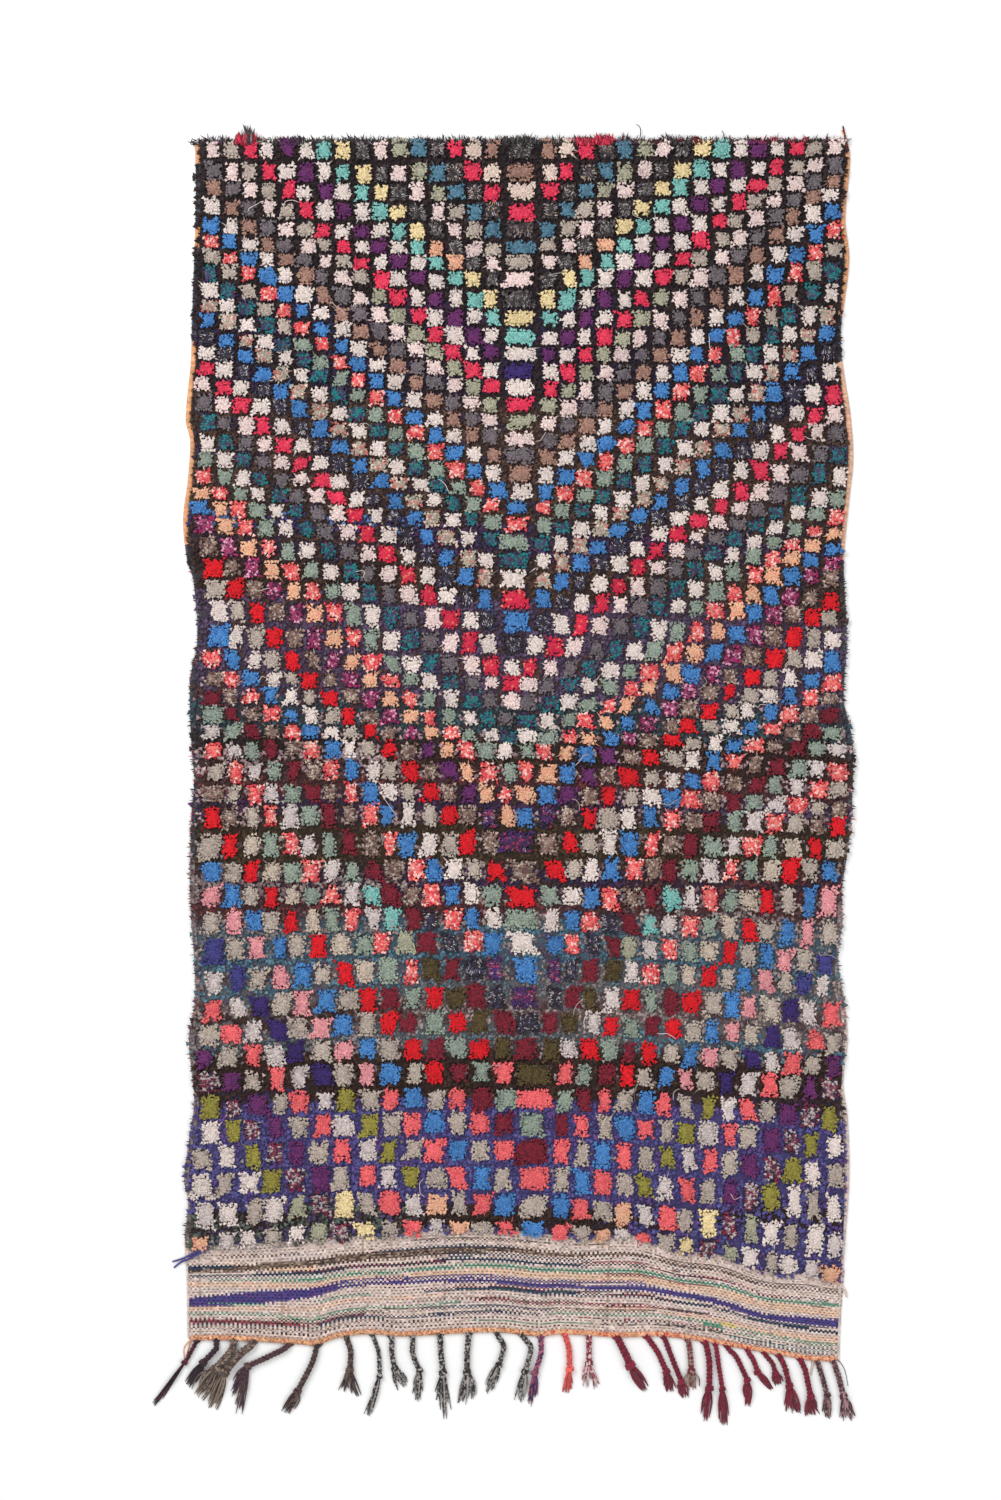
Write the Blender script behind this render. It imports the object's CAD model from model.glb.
"""Looks of a boucherouite rug that lies flat with its pile up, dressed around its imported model.

The rug is dressed as it is made: a woven ground, a bed of packed knots, the cut ends of the pile in
mirrored chevrons of squares, an overcast cord along each long edge, a striped flat-woven end, and a
twined cord that carries the tassels. X runs across the rug and +Y runs to the frayed end. Tables are
in millimetres in the rug's own plane, and meshes are in metres.
"""
import logging
import math
from dataclasses import dataclass
from enum import Enum

import bmesh
import bpy
import numpy as np
from bmesh.types import BMEdge, BMesh, BMFace, BMVert
from bpy.types import Material, Mesh, Node, NodeSocket, NodeTree, Object
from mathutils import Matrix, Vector, noise

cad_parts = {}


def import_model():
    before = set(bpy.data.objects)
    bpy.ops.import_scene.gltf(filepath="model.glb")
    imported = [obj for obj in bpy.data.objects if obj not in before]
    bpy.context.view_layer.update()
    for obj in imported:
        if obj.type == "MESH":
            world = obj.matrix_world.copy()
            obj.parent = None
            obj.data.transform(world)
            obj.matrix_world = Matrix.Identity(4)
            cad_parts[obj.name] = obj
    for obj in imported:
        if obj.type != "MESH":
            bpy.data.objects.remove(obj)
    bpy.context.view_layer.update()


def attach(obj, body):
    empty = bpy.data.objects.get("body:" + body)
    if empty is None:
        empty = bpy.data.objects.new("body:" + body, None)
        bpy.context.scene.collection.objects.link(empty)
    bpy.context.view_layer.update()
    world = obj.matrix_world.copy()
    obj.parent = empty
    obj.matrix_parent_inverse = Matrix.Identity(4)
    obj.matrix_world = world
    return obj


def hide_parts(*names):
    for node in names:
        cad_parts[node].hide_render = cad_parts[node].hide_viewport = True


Array = np.ndarray
Rng = np.random.Generator

LOG = logging.getLogger("rug")

MM = 0.001
PLANE_SHIFT = (1.922, 1.299)
SEED = 53

# The chart was drawn at this scale, in units counted from the rug's middle
UNIT = 2.29
MIDDLE_ACROSS = 505.0
MIDDLE_ALONG = 775.0

LEFT_EDGE = (
    (1461, -710), (1317, -708), (1179, -712), (1042, -717), (950, -719), (813, -731), (767, -721),
    (676, -726), (584, -737), (492, -728), (447, -714), (309, -705), (218, -721), (80, -719),
    (-11, -712), (-103, -719), (-286, -721), (-424, -712), (-515, -710), (-607, -724),
    (-744, -712), (-836, -724), (-927, -735), (-973, -726), (-1065, -733), (-1156, -728),
    (-1294, -726),
)

RIGHT_EDGE = (
    (1461, 783), (1408, 790), (1271, 779), (1179, 788), (996, 769), (813, 792), (721, 797),
    (630, 788), (492, 776), (309, 783), (172, 776), (80, 795), (-57, 795), (-149, 788),
    (-240, 772), (-332, 772), (-424, 763), (-515, 776), (-607, 785), (-698, 774), (-790, 785),
    (-927, 788), (-1065, 779), (-1202, 769), (-1340, 765),
)

PILE_END = (
    (-721, -1081), (-579, -1076), (-447, -1065), (-298, -1056), (-149, -1042), (0, -1044),
    (163, -1060), (293, -1056), (398, -1090), (492, -1101), (593, -1140), (698, -1145),
    (751, -1156),
)

TWINED_LINE = (
    (-721, -1287), (-630, -1287), (-469, -1296), (-435, -1298), (-378, -1280), (-309, -1273),
    (-240, -1278), (-103, -1271), (-11, -1269), (80, -1278), (126, -1273), (263, -1280),
    (355, -1278), (446, -1289), (538, -1305), (630, -1321), (698, -1333), (751, -1335),
)

# How far the pile's roots stay from each long edge: much where the overcast edge is bare
LEFT_BARE = ((1445, 12), (1405, 11), (1392, 4), (1255, 4), (1240, 9), (1216, 9), (1204, 6),
             (1000, 6), (975, 14), (733, 15), (560, 13), (490, 5), (-1200, 4))
RIGHT_BARE = ((1445, 12), (1100, 12), (1050, 6), (960, 5), (940, 14), (560, 15), (480, 5),
              (-540, 4), (-600, 11), (-1120, 11), (-1160, 5))

# Where each row of squares crosses the left, the middle and the right of the rug, in chart units
ROW_PLACES = (210, 522, 832)
ROW_LINES = (
    (150, 150, 150), (172, 175, 167), (190, 193, 183), (207, 213, 197), (227, 232, 212),
    (243, 249, 233), (258, 264, 252), (273, 280, 272), (293, 301, 294), (307, 320, 315),
    (322, 338, 335), (340, 355, 352), (354, 372, 373), (370, 389, 395), (386, 407, 415),
    (404, 424, 435), (424, 440, 455), (443, 457, 477), (460, 475, 500), (478, 492, 518),
    (494, 508, 533), (508, 525, 548), (525, 543, 562), (547, 561, 578), (569, 580, 602),
    (589, 600, 618), (610, 622, 640), (637, 645, 662), (660, 668, 683), (680, 684, 700),
    (696, 702, 718), (714, 720, 733), (731, 736, 750), (752, 750, 772), (772, 773, 790),
    (795, 794, 808), (817, 815, 825), (848, 843, 850), (873, 870, 868), (896, 895, 903),
    (923, 920, 935), (950, 943, 965), (983, 968, 985), (1010, 997, 1015), (1035, 1022, 1042),
    (1058, 1048, 1067), (1082, 1072, 1090), (1108, 1098, 1118), (1131, 1123, 1145),
    (1157, 1150, 1175), (1185, 1178, 1205), (1213, 1205, 1245), (1246, 1230, 1275),
)

# The middle square of some rows: row, where it is across, and half its width, in chart units
MIDDLE_SQUARES = (
    (1, 521, 15), (9, 520.5, 15), (17, 520, 16), (19, 520, 13), (20, 522, 11), (21, 517, 12),
    (22, 516.7, 12.5), (23, 514.5, 13), (24, 515, 15), (25, 514, 15), (26, 514.5, 16),
    (27, 516, 13.5), (28, 512, 11), (29, 510.6, 8), (31, 510, 8), (32, 507.6, 8), (33, 509, 8),
    (34, 506, 8), (35, 507.6, 8), (37, 506.5, 8), (38, 518.5, 17), (39, 524, 16), (40, 522, 17),
    (41, 521.5, 16.5), (42, 522.7, 18), (43, 524.5, 15), (44, 525.7, 14), (45, 527, 12),
    (46, 526, 10), (47, 534, 17), (50, 533, 15), (53, 533, 15),
)

# How many squares are left and right of the middle one, up to and with a row
SIDE_COUNTS = ((22, (16, 16)), (37, (15, 16)), (41, (15, 15)), (46, (14, 15)), (53, (14, 14)))

# The yarn that each chevron starts in, counted from the frayed end's middle
CHEVRONS = """
    charcoal mauve_brown warm_cream raspberry gold_speckle petrol sage pale_pink charcoal yellow
    turquoise cream purple cream raspberry taupe pale_pink slate mauve_brown cream blue coral_marl
    taupe teal_marl cream sage_marl blue night_speckle cream raspberry pale_pink slate teal_marl
    cream grey_sage coral_marl peach blue magenta_marl brown_marl bright_red taupe cream blue
    coral_marl brown_marl maroon grey_sage light_grey coral_marl taupe brown_marl bright_red taupe
    blue pink taupe indigo light_grey coral taupe purple ruby_speckle olive cream taupe cream
    light_grey peach
""".split()

# Chevrons whose yarn ran out: the chevron, then the row from which each other yarn takes over
RUN_OUT = {
    7: ((4, "taupe"),), 10: ((6, "peach"), (8, "yellow")), 16: ((9, "sage"),),
    23: ((12, "grey_sage"),), 30: ((22, "crimson"),), 39: ((34, "purple"), (37, "night_marl")),
    42: ((40, "grey_sage"),), 45: ((43, "night_marl"),), 46: ((41, "night_speckle"),),
    48: ((40, "turquoise_marl"), (42, "sage"), (43, "olive_brown")),
    50: ((44, "bright_red"), (47, "coral")), 51: ((38, "grey_sage"),),
    52: ((38, "taupe_cream"), (44, "maroon")), 53: ((48, "coral"),), 56: ((48, "coral"),),
    58: ((44, "dark_indigo"), (48, "olive"), (52, "peach")), 62: ((52, "yellow"),),
    64: ((52, "sage"),),
}

# Chevrons whose middle square has a yarn of its own
MIDDLE_YARNS = {13: "dark_indigo", 26: "crimson", 30: "crimson"}

# The yarn between the squares: the first row that it lies below, then left, middle and right
GROUND_YARNS = (
    (0, "black", "black", "black"),
    (9, "black_navy", "black_navy", "black"),
    (12, "black_navy", "black_navy", "black_navy"),
    (15, "dark_brown", "dark_brown", "dark_brown"),
    (22, "blue_strip", "plum_navy", "plum_navy"),
    (23, "dark_brown", "plum_navy", "dark_brown"),
    (24, "black_brown", "dark_brown", "dark_brown"),
    (26, "slate_purple", "slate_purple", "slate_purple"),
    (31, "dark_teal", "dark_teal", "dark_teal"),
    (33, "black", "black_brown", "black_brown"),
    (34, "pink_grey", "black_brown", "black_brown"),
    (35, "red_brown", "red_brown", "red_brown"),
    (36, "plum_navy", "plum_navy", "slate_purple"),
    (37, "olive_dark", "olive_dark", "olive_dark"),
    (39, "taupe_grey", "plum_navy", "red_brown"),
    (40, "red_brown", "red_brown", "taupe_grey"),
    (41, "grey_teal", "teal", "grey_teal"),
    (42, "teal", "teal", "teal"),
    (43, "teal", "grey_teal", "grey_teal"),
    (44, "black_brown", "taupe_grey", "taupe_grey"),
    (45, "grey_teal", "grey_teal", "teal"),
    (46, "black_brown", "black_brown", "black_brown"),
    (48, "violet_blue", "violet_blue", "violet_blue"),
    (52, "moss_grey", "black_brown", "violet_blue"),
    (53, "moss_grey", "violet_blue", "violet_blue"),
)


@dataclass(frozen=True)
class Yarn:
    """A dyed yarn: its shades as red, green and blue up to 255, and how much of it each one is.

    The strands that lie loose on top may have shades of their own, and be more than usual.
    """

    shades: tuple
    shares: tuple = (0.7, 0.3)
    loose: tuple = ()
    more: int = 0

    def pick(self, rng: Rng, count: int, spread: float) -> Array:
        """Pick the colours of some cut ends of this yarn.

        Args:
            rng: The random source.
            count: How many ends there are.
            spread: How far an end is lighter or darker than the dye.

        Returns:
            Linear colours, one row for each end.
        """
        shares = np.array(self.shares) / sum(self.shares)
        chosen = np.array(self.shades, dtype=float)[rng.choice(len(shares), count, p=shares)]
        light = rng.normal(1.0, spread, (count, 1))
        tint = rng.normal(1.0, spread * 0.25, (count, 3))
        return linear(np.clip(chosen * light * tint, 2, 250))

    def patches(self, field: Array, rng: Rng, spread: float) -> Array:
        """Pick colours that change from patch to patch.

        Args:
            field: A smooth number from about -1 to 1 for each end.
            rng: The random source.
            spread: How far an end is lighter or darker than the dye.

        Returns:
            Linear colours, one row for each end.
        """
        level = np.clip(0.5 + field + rng.normal(0, 0.12, len(field)), 0, 0.999)
        steps = np.cumsum(self.shares) / sum(self.shares)
        chosen = np.array(self.shades, dtype=float)[np.searchsorted(steps, level)]
        return linear(np.clip(chosen * rng.normal(1.0, spread, (len(field), 1)), 2, 250))

    def strands(self, rng: Rng, count: int, spread: float) -> Array:
        """Pick the colours of some loose strands of this yarn."""
        yarn = Yarn(self.loose, (1.0,) * len(self.loose)) if self.loose else self
        return yarn.pick(rng, count, spread)

    def mean(self) -> Array:
        """The linear colour of the yarn seen from far away."""
        shares = np.array(self.shares) / sum(self.shares)
        return (linear(np.array(self.shades, dtype=float)) * shares[:, None]).sum(0)


def linear(colour: Array) -> Array:
    """Turn display colours up to 255 into the linear ones that shaders use."""
    share = np.asarray(colour, dtype=float) / 255.0
    return np.where(share <= 0.04045, share / 12.92, ((share + 0.055) / 1.055) ** 2.4)


YARNS = {
    "cream": Yarn(((214, 200, 194), (202, 187, 182)), (0.8, 0.2)),
    "warm_cream": Yarn(((215, 194, 182), (204, 180, 170)), (0.8, 0.2)),
    "pale_pink": Yarn(((218, 196, 192), (207, 183, 181)), (0.8, 0.2)),
    "pink": Yarn(((208, 135, 142), (215, 152, 154))),
    "taupe": Yarn(((177, 163, 152), (160, 146, 138)), loose=((188, 174, 164), (150, 136, 130))),
    "taupe_cream": Yarn(((192, 176, 160), (174, 158, 146))),
    "light_grey": Yarn(((200, 187, 184), (180, 167, 165)), (0.75, 0.25)),
    "slate": Yarn(((110, 101, 105), (90, 82, 88))),
    "mauve_brown": Yarn(((158, 122, 108), (138, 104, 94))),
    "raspberry": Yarn(((208, 50, 80), (221, 68, 92))),
    "crimson": Yarn(((205, 44, 70), (224, 112, 100), (190, 34, 70)), (0.6, 0.12, 0.28)),
    "coral": Yarn(((224, 102, 104), (212, 86, 94))),
    "coral_marl": Yarn(((210, 66, 76), (236, 184, 176), (228, 112, 104)), (0.42, 0.26, 0.32),
                       ((240, 198, 188), (206, 54, 68), (234, 128, 116)), 8),
    "bright_red": Yarn(((211, 28, 38), (190, 24, 36)), (0.75, 0.25)),
    "maroon": Yarn(((120, 34, 48), (98, 28, 42))),
    "blue": Yarn(((72, 126, 184), (58, 106, 164)), loose=((88, 142, 196), (50, 96, 156))),
    "petrol": Yarn(((84, 122, 142), (66, 100, 120))),
    "turquoise": Yarn(((122, 180, 173), (104, 160, 156)), (0.75, 0.25)),
    "yellow": Yarn(((225, 204, 156), (212, 190, 142))),
    "peach": Yarn(((216, 168, 138), (222, 156, 128))),
    "purple": Yarn(((103, 46, 98), (84, 40, 88)), loose=((120, 62, 112), (78, 36, 84))),
    "dark_indigo": Yarn(((60, 42, 104), (50, 38, 86))),
    "indigo": Yarn(((70, 68, 130), (58, 54, 110))),
    "sage": Yarn(((162, 160, 138), (150, 146, 128))),
    "grey_sage": Yarn(((140, 152, 138), (124, 134, 126)),
                      loose=((158, 168, 154), (112, 122, 114))),
    "olive": Yarn(((144, 136, 62), (124, 116, 54))),
    "olive_brown": Yarn(((86, 72, 44), (68, 56, 36)), (0.6, 0.4)),
    "charcoal": Yarn(((56, 50, 52), (96, 90, 90)), (0.65, 0.35), ((200, 193, 190), (158, 150, 149)),
                     22),
    "gold_speckle": Yarn(((56, 50, 54), (96, 84, 84)), (0.65, 0.35),
                         ((208, 178, 120), (214, 204, 208), (196, 188, 198)), 22),
    "night_speckle": Yarn(((48, 42, 50), (64, 60, 84)), (0.7, 0.3),
                          ((214, 206, 206), (190, 182, 186)), 16),
    "night_marl": Yarn(((70, 44, 96), (50, 44, 70), (140, 50, 80)), (0.45, 0.35, 0.2),
                       ((190, 156, 180), (150, 60, 92)), 10),
    "teal_marl": Yarn(((34, 114, 120), (50, 58, 76), (72, 54, 94)), (0.45, 0.33, 0.22),
                      ((44, 144, 144), (166, 104, 92), (100, 74, 126), (40, 132, 134)), 12),
    "turquoise_marl": Yarn(((110, 176, 172), (132, 186, 178), (150, 158, 152)), (0.5, 0.3, 0.2)),
    "sage_marl": Yarn(((156, 150, 136), (184, 108, 102), (206, 184, 170)), (0.5, 0.22, 0.28),
                      ((200, 86, 86), (224, 198, 182), (132, 158, 138)), 8),
    "magenta_marl": Yarn(((150, 44, 92), (208, 144, 170), (78, 34, 62)), (0.45, 0.22, 0.33),
                         ((228, 170, 188), (166, 52, 104)), 8),
    "brown_marl": Yarn(((130, 104, 94), (176, 156, 144), (96, 72, 68)), (0.45, 0.25, 0.3),
                       ((204, 190, 178), (94, 66, 62)), 8),
    "ruby_speckle": Yarn(((176, 162, 162), (122, 40, 64), (56, 44, 60)), (0.35, 0.3, 0.35),
                         ((214, 204, 202), (130, 40, 64)), 10),
    "black": Yarn(((48, 35, 37), (34, 27, 30)), (0.65, 0.35)),
    "black_navy": Yarn(((46, 34, 36), (40, 35, 60), (58, 36, 60)), (0.6, 0.24, 0.16)),
    "black_brown": Yarn(((52, 36, 33), (66, 46, 38)), (0.6, 0.4)),
    "dark_brown": Yarn(((78, 58, 50), (58, 42, 38), (56, 44, 62)), (0.55, 0.33, 0.12)),
    "blue_strip": Yarn(((78, 108, 156), (58, 52, 104), (70, 52, 46)), (0.45, 0.2, 0.35)),
    "plum_navy": Yarn(((72, 46, 76), (54, 46, 74), (62, 44, 42)), (0.4, 0.3, 0.3)),
    "slate_purple": Yarn(((88, 70, 96), (72, 60, 84), (76, 54, 54)), (0.45, 0.27, 0.28)),
    "dark_teal": Yarn(((56, 76, 84), (52, 60, 68), (66, 48, 54)), (0.45, 0.27, 0.28)),
    "teal": Yarn(((74, 102, 118), (88, 122, 138), (84, 74, 92)), (0.5, 0.25, 0.25)),
    "grey_teal": Yarn(((112, 108, 112), (84, 102, 112), (128, 118, 118)), (0.4, 0.3, 0.3)),
    "pink_grey": Yarn(((164, 138, 140), (140, 118, 122), (70, 48, 48)), (0.45, 0.3, 0.25)),
    "taupe_grey": Yarn(((148, 132, 128), (118, 102, 104), (84, 60, 64)), (0.45, 0.3, 0.25)),
    "olive_dark": Yarn(((70, 54, 40), (54, 42, 34)), (0.6, 0.4)),
    "violet_blue": Yarn(((84, 80, 136), (72, 66, 118), (94, 70, 130)), (0.55, 0.25, 0.2)),
    "moss_grey": Yarn(((88, 98, 90), (68, 64, 62), (78, 66, 100)), (0.5, 0.25, 0.25)),
    "red_brown": Yarn(((100, 50, 50), (66, 44, 42), (86, 58, 66)), (0.4, 0.35, 0.25)),
    "orange": Yarn(((220, 160, 116), (210, 147, 102))),
    "orange_peach": Yarn(((222, 176, 148), (212, 162, 132))),
    "weft_cream": Yarn(((216, 197, 189), (204, 183, 174), (190, 168, 159)), (0.5, 0.3, 0.2)),
    "selvedge_grey": Yarn(((150, 136, 132), (128, 116, 116), (158, 134, 130)), (0.5, 0.25, 0.25)),
    "selvedge_dark": Yarn(((82, 84, 92), (66, 66, 76)), (0.6, 0.4)),
}


@dataclass(frozen=True)
class Line:
    """A smooth line through measured points, each a place and the value there."""

    points: tuple

    def at(self, place: Array) -> Array:
        """Read the line, held level past its ends.

        Args:
            place: Where the line is read.

        Returns:
            Its values there.
        """
        places, values = np.array(sorted(self.points), dtype=float).T
        place = np.clip(place, places[0], places[-1])
        slopes = np.empty_like(values)
        slopes[1:-1] = (values[2:] - values[:-2]) / (places[2:] - places[:-2])
        slopes[0] = (values[1] - values[0]) / (places[1] - places[0])
        slopes[-1] = (values[-1] - values[-2]) / (places[-1] - places[-2])
        end = np.clip(np.searchsorted(places, place), 1, len(places) - 1)
        start = end - 1
        span = places[end] - places[start]
        t = (place - places[start]) / span
        return ((2 * t ** 3 - 3 * t ** 2 + 1) * values[start]
                + (t ** 3 - 2 * t ** 2 + t) * span * slopes[start]
                + (3 * t ** 2 - 2 * t ** 3) * values[end]
                + (t ** 3 - t ** 2) * span * slopes[end])


LEFT = Line(LEFT_EDGE)
RIGHT = Line(RIGHT_EDGE)
LEFT_BARE_LINE = Line(LEFT_BARE)
RIGHT_BARE_LINE = Line(RIGHT_BARE)
PILE_FOOT = Line(PILE_END)
TWINED = Line(TWINED_LINE)


def across_mm(place: float) -> float:
    """Where a chart unit is across the rug, in millimetres."""
    return (np.asarray(place, dtype=float) - MIDDLE_ACROSS) * UNIT


def along_mm(place: float) -> float:
    """Where a chart unit is along the rug, in millimetres."""
    return (MIDDLE_ALONG - np.asarray(place, dtype=float)) * UNIT


def between_edges(share: float, along: float, inset: float) -> float:
    """Where a share of the way between the long edges is, an inset inside them."""
    left = float(LEFT.at(along)) + inset
    return left + (float(RIGHT.at(along)) - inset - left) * share


def soft_lumps(across: Array, along: Array, length: float, layer: float) -> Array:
    """Read one layer of a field of lumps of one length, about -1 to 1 at each point of the rug."""
    return np.array([noise.noise(Vector((x / length, y / length, layer)))
                     for x, y in zip(across, along)])


class Part(Enum):
    """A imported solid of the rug: its material slot in the record, and its node."""

    GROUND = ("ground_yarn", "ground_weave")
    PILE = ("pile_yarn", "knotted_pile")
    LEFT_EDGE = ("selvedge_yarn", "selvedge_left")
    RIGHT_EDGE = ("selvedge_yarn", "selvedge_right")
    FRINGE = ("fringe_yarn", "twined_fringe")


def place_piece(mesh: Mesh, finish: "YarnFinish", part: Part) -> Object:
    """Put a finished mesh in the scene as a piece of its name, and tie it to the rug.

    Args:
        mesh: The mesh, in metres where it belongs.
        finish: The yarn finish that it takes.
        part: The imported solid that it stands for.

    Returns:
        The piece.
    """
    slot, node = part.value
    mesh.materials.append(finish.material())
    piece = bpy.data.objects.new(mesh.name, mesh)
    bpy.context.scene.collection.objects.link(piece)
    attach(piece, "root")
    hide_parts(node)
    LOG.info("%s: %d triangles", mesh.name, sum(len(face.vertices) - 2 for face in mesh.polygons))
    return piece


def add_node(tree: NodeTree, kind: str, **inputs: float) -> Node:
    """Add a node to a material.

    Args:
        tree: The material's nodes.
        kind: What kind of node it is.
        inputs: What its inputs are set to, with an underscore for each space of a name.

    Returns:
        The node.
    """
    node = tree.nodes.new(f"ShaderNode{kind}")
    for name, value in inputs.items():
        node.inputs[name.replace("_", " ")].default_value = value
    return node


@dataclass(frozen=True)
class YarnFinish:
    """Spun yarn whose dye comes from the mesh, with fibres that lighten, darken and roughen it."""

    name: str
    roughness: float = 0.92
    sheen: float = 0.22
    fibre_scale: float = 620.0
    fibre_stretch: tuple = (1.0, 1.0, 0.35)
    darkest: float = 0.7
    lightest: float = 1.2
    relief: float = 0.0012
    flecks: bool = False
    fleck_scale: float = 210.0

    def material(self) -> Material:
        """The finish's material, made once.

        Returns:
            The material.
        """
        found = bpy.data.materials.get(self.name)
        if found:
            return found
        material = bpy.data.materials.new(self.name)
        material.use_nodes = True
        tree = material.node_tree
        link = tree.links.new
        shader = tree.nodes["Principled BSDF"]
        shader.inputs["Roughness"].default_value = self.roughness
        shader.inputs["Specular IOR Level"].default_value = 0.18
        shader.inputs["Sheen Weight"].default_value = self.sheen
        shader.inputs["Sheen Roughness"].default_value = 0.5
        place = add_node(tree, "TexCoord")
        fibres = self.fibre_noise(tree, place)
        light = add_node(tree, "MapRange", From_Min=0.3, From_Max=0.7, To_Min=self.darkest,
                         To_Max=self.lightest)
        link(fibres.outputs["Fac"], light.inputs["Value"])
        dyed = add_node(tree, "Mix", Factor=1.0)
        dyed.data_type = "RGBA"
        dyed.blend_type = "MULTIPLY"
        link(self.dye(tree, place), dyed.inputs["A"])
        link(light.outputs["Result"], dyed.inputs["B"])
        link(dyed.outputs["Result"], shader.inputs["Base Color"])
        bump = add_node(tree, "Bump", Strength=0.6, Distance=self.relief)
        link(fibres.outputs["Fac"], bump.inputs["Height"])
        link(bump.outputs["Normal"], shader.inputs["Normal"])
        return material

    def fibre_noise(self, tree: NodeTree, place: Node) -> Node:
        """Add the noise of single fibres.

        Args:
            tree: The material's nodes.
            place: The node that gives a point's place.

        Returns:
            The noise node.
        """
        stretch = add_node(tree, "Mapping", Scale=self.fibre_stretch)
        fibres = add_node(tree, "TexNoise", Scale=self.fibre_scale, Detail=3.0)
        tree.links.new(place.outputs["Object"], stretch.inputs["Vector"])
        tree.links.new(stretch.outputs["Vector"], fibres.inputs["Vector"])
        return fibres

    def dye(self, tree: NodeTree, place: Node) -> NodeSocket:
        """Add the dye that the mesh carries, with flecks of a second one where the finish has them.

        Args:
            tree: The material's nodes.
            place: The node that gives a point's place.

        Returns:
            The socket that gives the colour.
        """
        yarn = add_node(tree, "Attribute")
        yarn.attribute_name = "yarn"
        if not self.flecks:
            return yarn.outputs["Color"]
        link = tree.links.new
        fleck = add_node(tree, "Attribute")
        fleck.attribute_name = "fleck"
        spots = add_node(tree, "TexNoise", Scale=self.fleck_scale, Detail=1.0)
        link(place.outputs["Object"], spots.inputs["Vector"])
        edge = add_node(tree, "MapRange", From_Min=0.54, From_Max=0.58)
        link(spots.outputs["Fac"], edge.inputs["Value"])
        mixed = add_node(tree, "Mix")
        mixed.data_type = "RGBA"
        link(edge.outputs["Result"], mixed.inputs["Factor"])
        link(yarn.outputs["Color"], mixed.inputs["A"])
        link(fleck.outputs["Color"], mixed.inputs["B"])
        return mixed.outputs["Result"]


PILE_FINISH = YarnFinish("cut_pile_yarn", fibre_scale=400.0, fibre_stretch=(1.0, 0.45, 0.35),
                         darkest=0.9, lightest=1.1, sheen=0.06)
BED_FINISH = YarnFinish("packed_knots", darkest=0.5, lightest=1.1)
WEAVE_FINISH = YarnFinish("woven_weft", fibre_scale=480.0, relief=0.0006, darkest=0.78,
                          lightest=1.14, sheen=0.12)
CLOTH_FINISH = YarnFinish("ground_cloth", fibre_scale=260.0, relief=0.001)
SELVEDGE_FINISH = YarnFinish("overcast_yarn", darkest=0.72, lightest=1.16)
CORD_FINISH = YarnFinish("twined_yarn", flecks=True, fleck_scale=190.0)
TASSEL_FINISH = YarnFinish("plied_warp_yarn", flecks=True, fleck_scale=150.0)


@dataclass(frozen=True)
class Stamp:
    """A small closed shape that is repeated many times: its corners and its triangles."""

    corners: Array
    triangles: Array

    @classmethod
    def from_bmesh(cls, bm: BMesh) -> "Stamp":
        """Take the shape from a bmesh, which is freed.

        Args:
            bm: The bmesh, with its foot at z 0 and its tip at z 1.

        Returns:
            The shape.
        """
        bmesh.ops.recalc_face_normals(bm, faces=bm.faces)
        bmesh.ops.triangulate(bm, faces=bm.faces)
        bm.verts.index_update()
        corners = np.array([vert.co for vert in bm.verts])
        triangles = np.array(sorted([vert.index for vert in face.verts] for face in bm.faces))
        bm.free()
        return cls(corners, triangles)

    @classmethod
    def spindle(cls, belly: float) -> "Stamp":
        """A cut end of yarn: three-sided, and pointed at its foot and its tip.

        Args:
            belly: Where it is widest, as a share of its length from the foot.

        Returns:
            The shape.
        """
        bm = bmesh.new()
        bmesh.ops.create_cone(bm, cap_ends=True, cap_tris=False, segments=3, radius1=0.0,
                              radius2=1.0, depth=belly)
        bmesh.ops.remove_doubles(bm, verts=bm.verts, dist=1e-4)
        bmesh.ops.translate(bm, verts=bm.verts, vec=(0, 0, belly / 2))
        top = max(bm.faces, key=lambda face: face.calc_center_median().z)
        tip = bmesh.ops.poke(bm, faces=[top])["verts"][0]
        tip.co.z = 1.0
        return cls.from_bmesh(bm)

    @classmethod
    def mound(cls) -> "Stamp":
        """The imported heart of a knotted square: square with cut corners, narrower at its top.

        Returns:
            The shape.
        """
        bm = bmesh.new()
        bmesh.ops.create_cube(bm, size=2.0)
        bmesh.ops.scale(bm, verts=bm.verts, vec=(1, 1, 0.5))
        bmesh.ops.translate(bm, verts=bm.verts, vec=(0, 0, 0.5))
        upright = [edge for edge in bm.edges
                   if abs(edge.verts[0].co.z - edge.verts[1].co.z) > 0.5]
        bmesh.ops.bevel(bm, geom=upright, offset=0.4, segments=1, profile=0.5,
                        affect="EDGES", material=-1)
        upper = [vert for vert in bm.verts if vert.co.z > 0.5]
        bmesh.ops.scale(bm, verts=upper, vec=(0.84, 0.84, 1))
        return cls.from_bmesh(bm)


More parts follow.
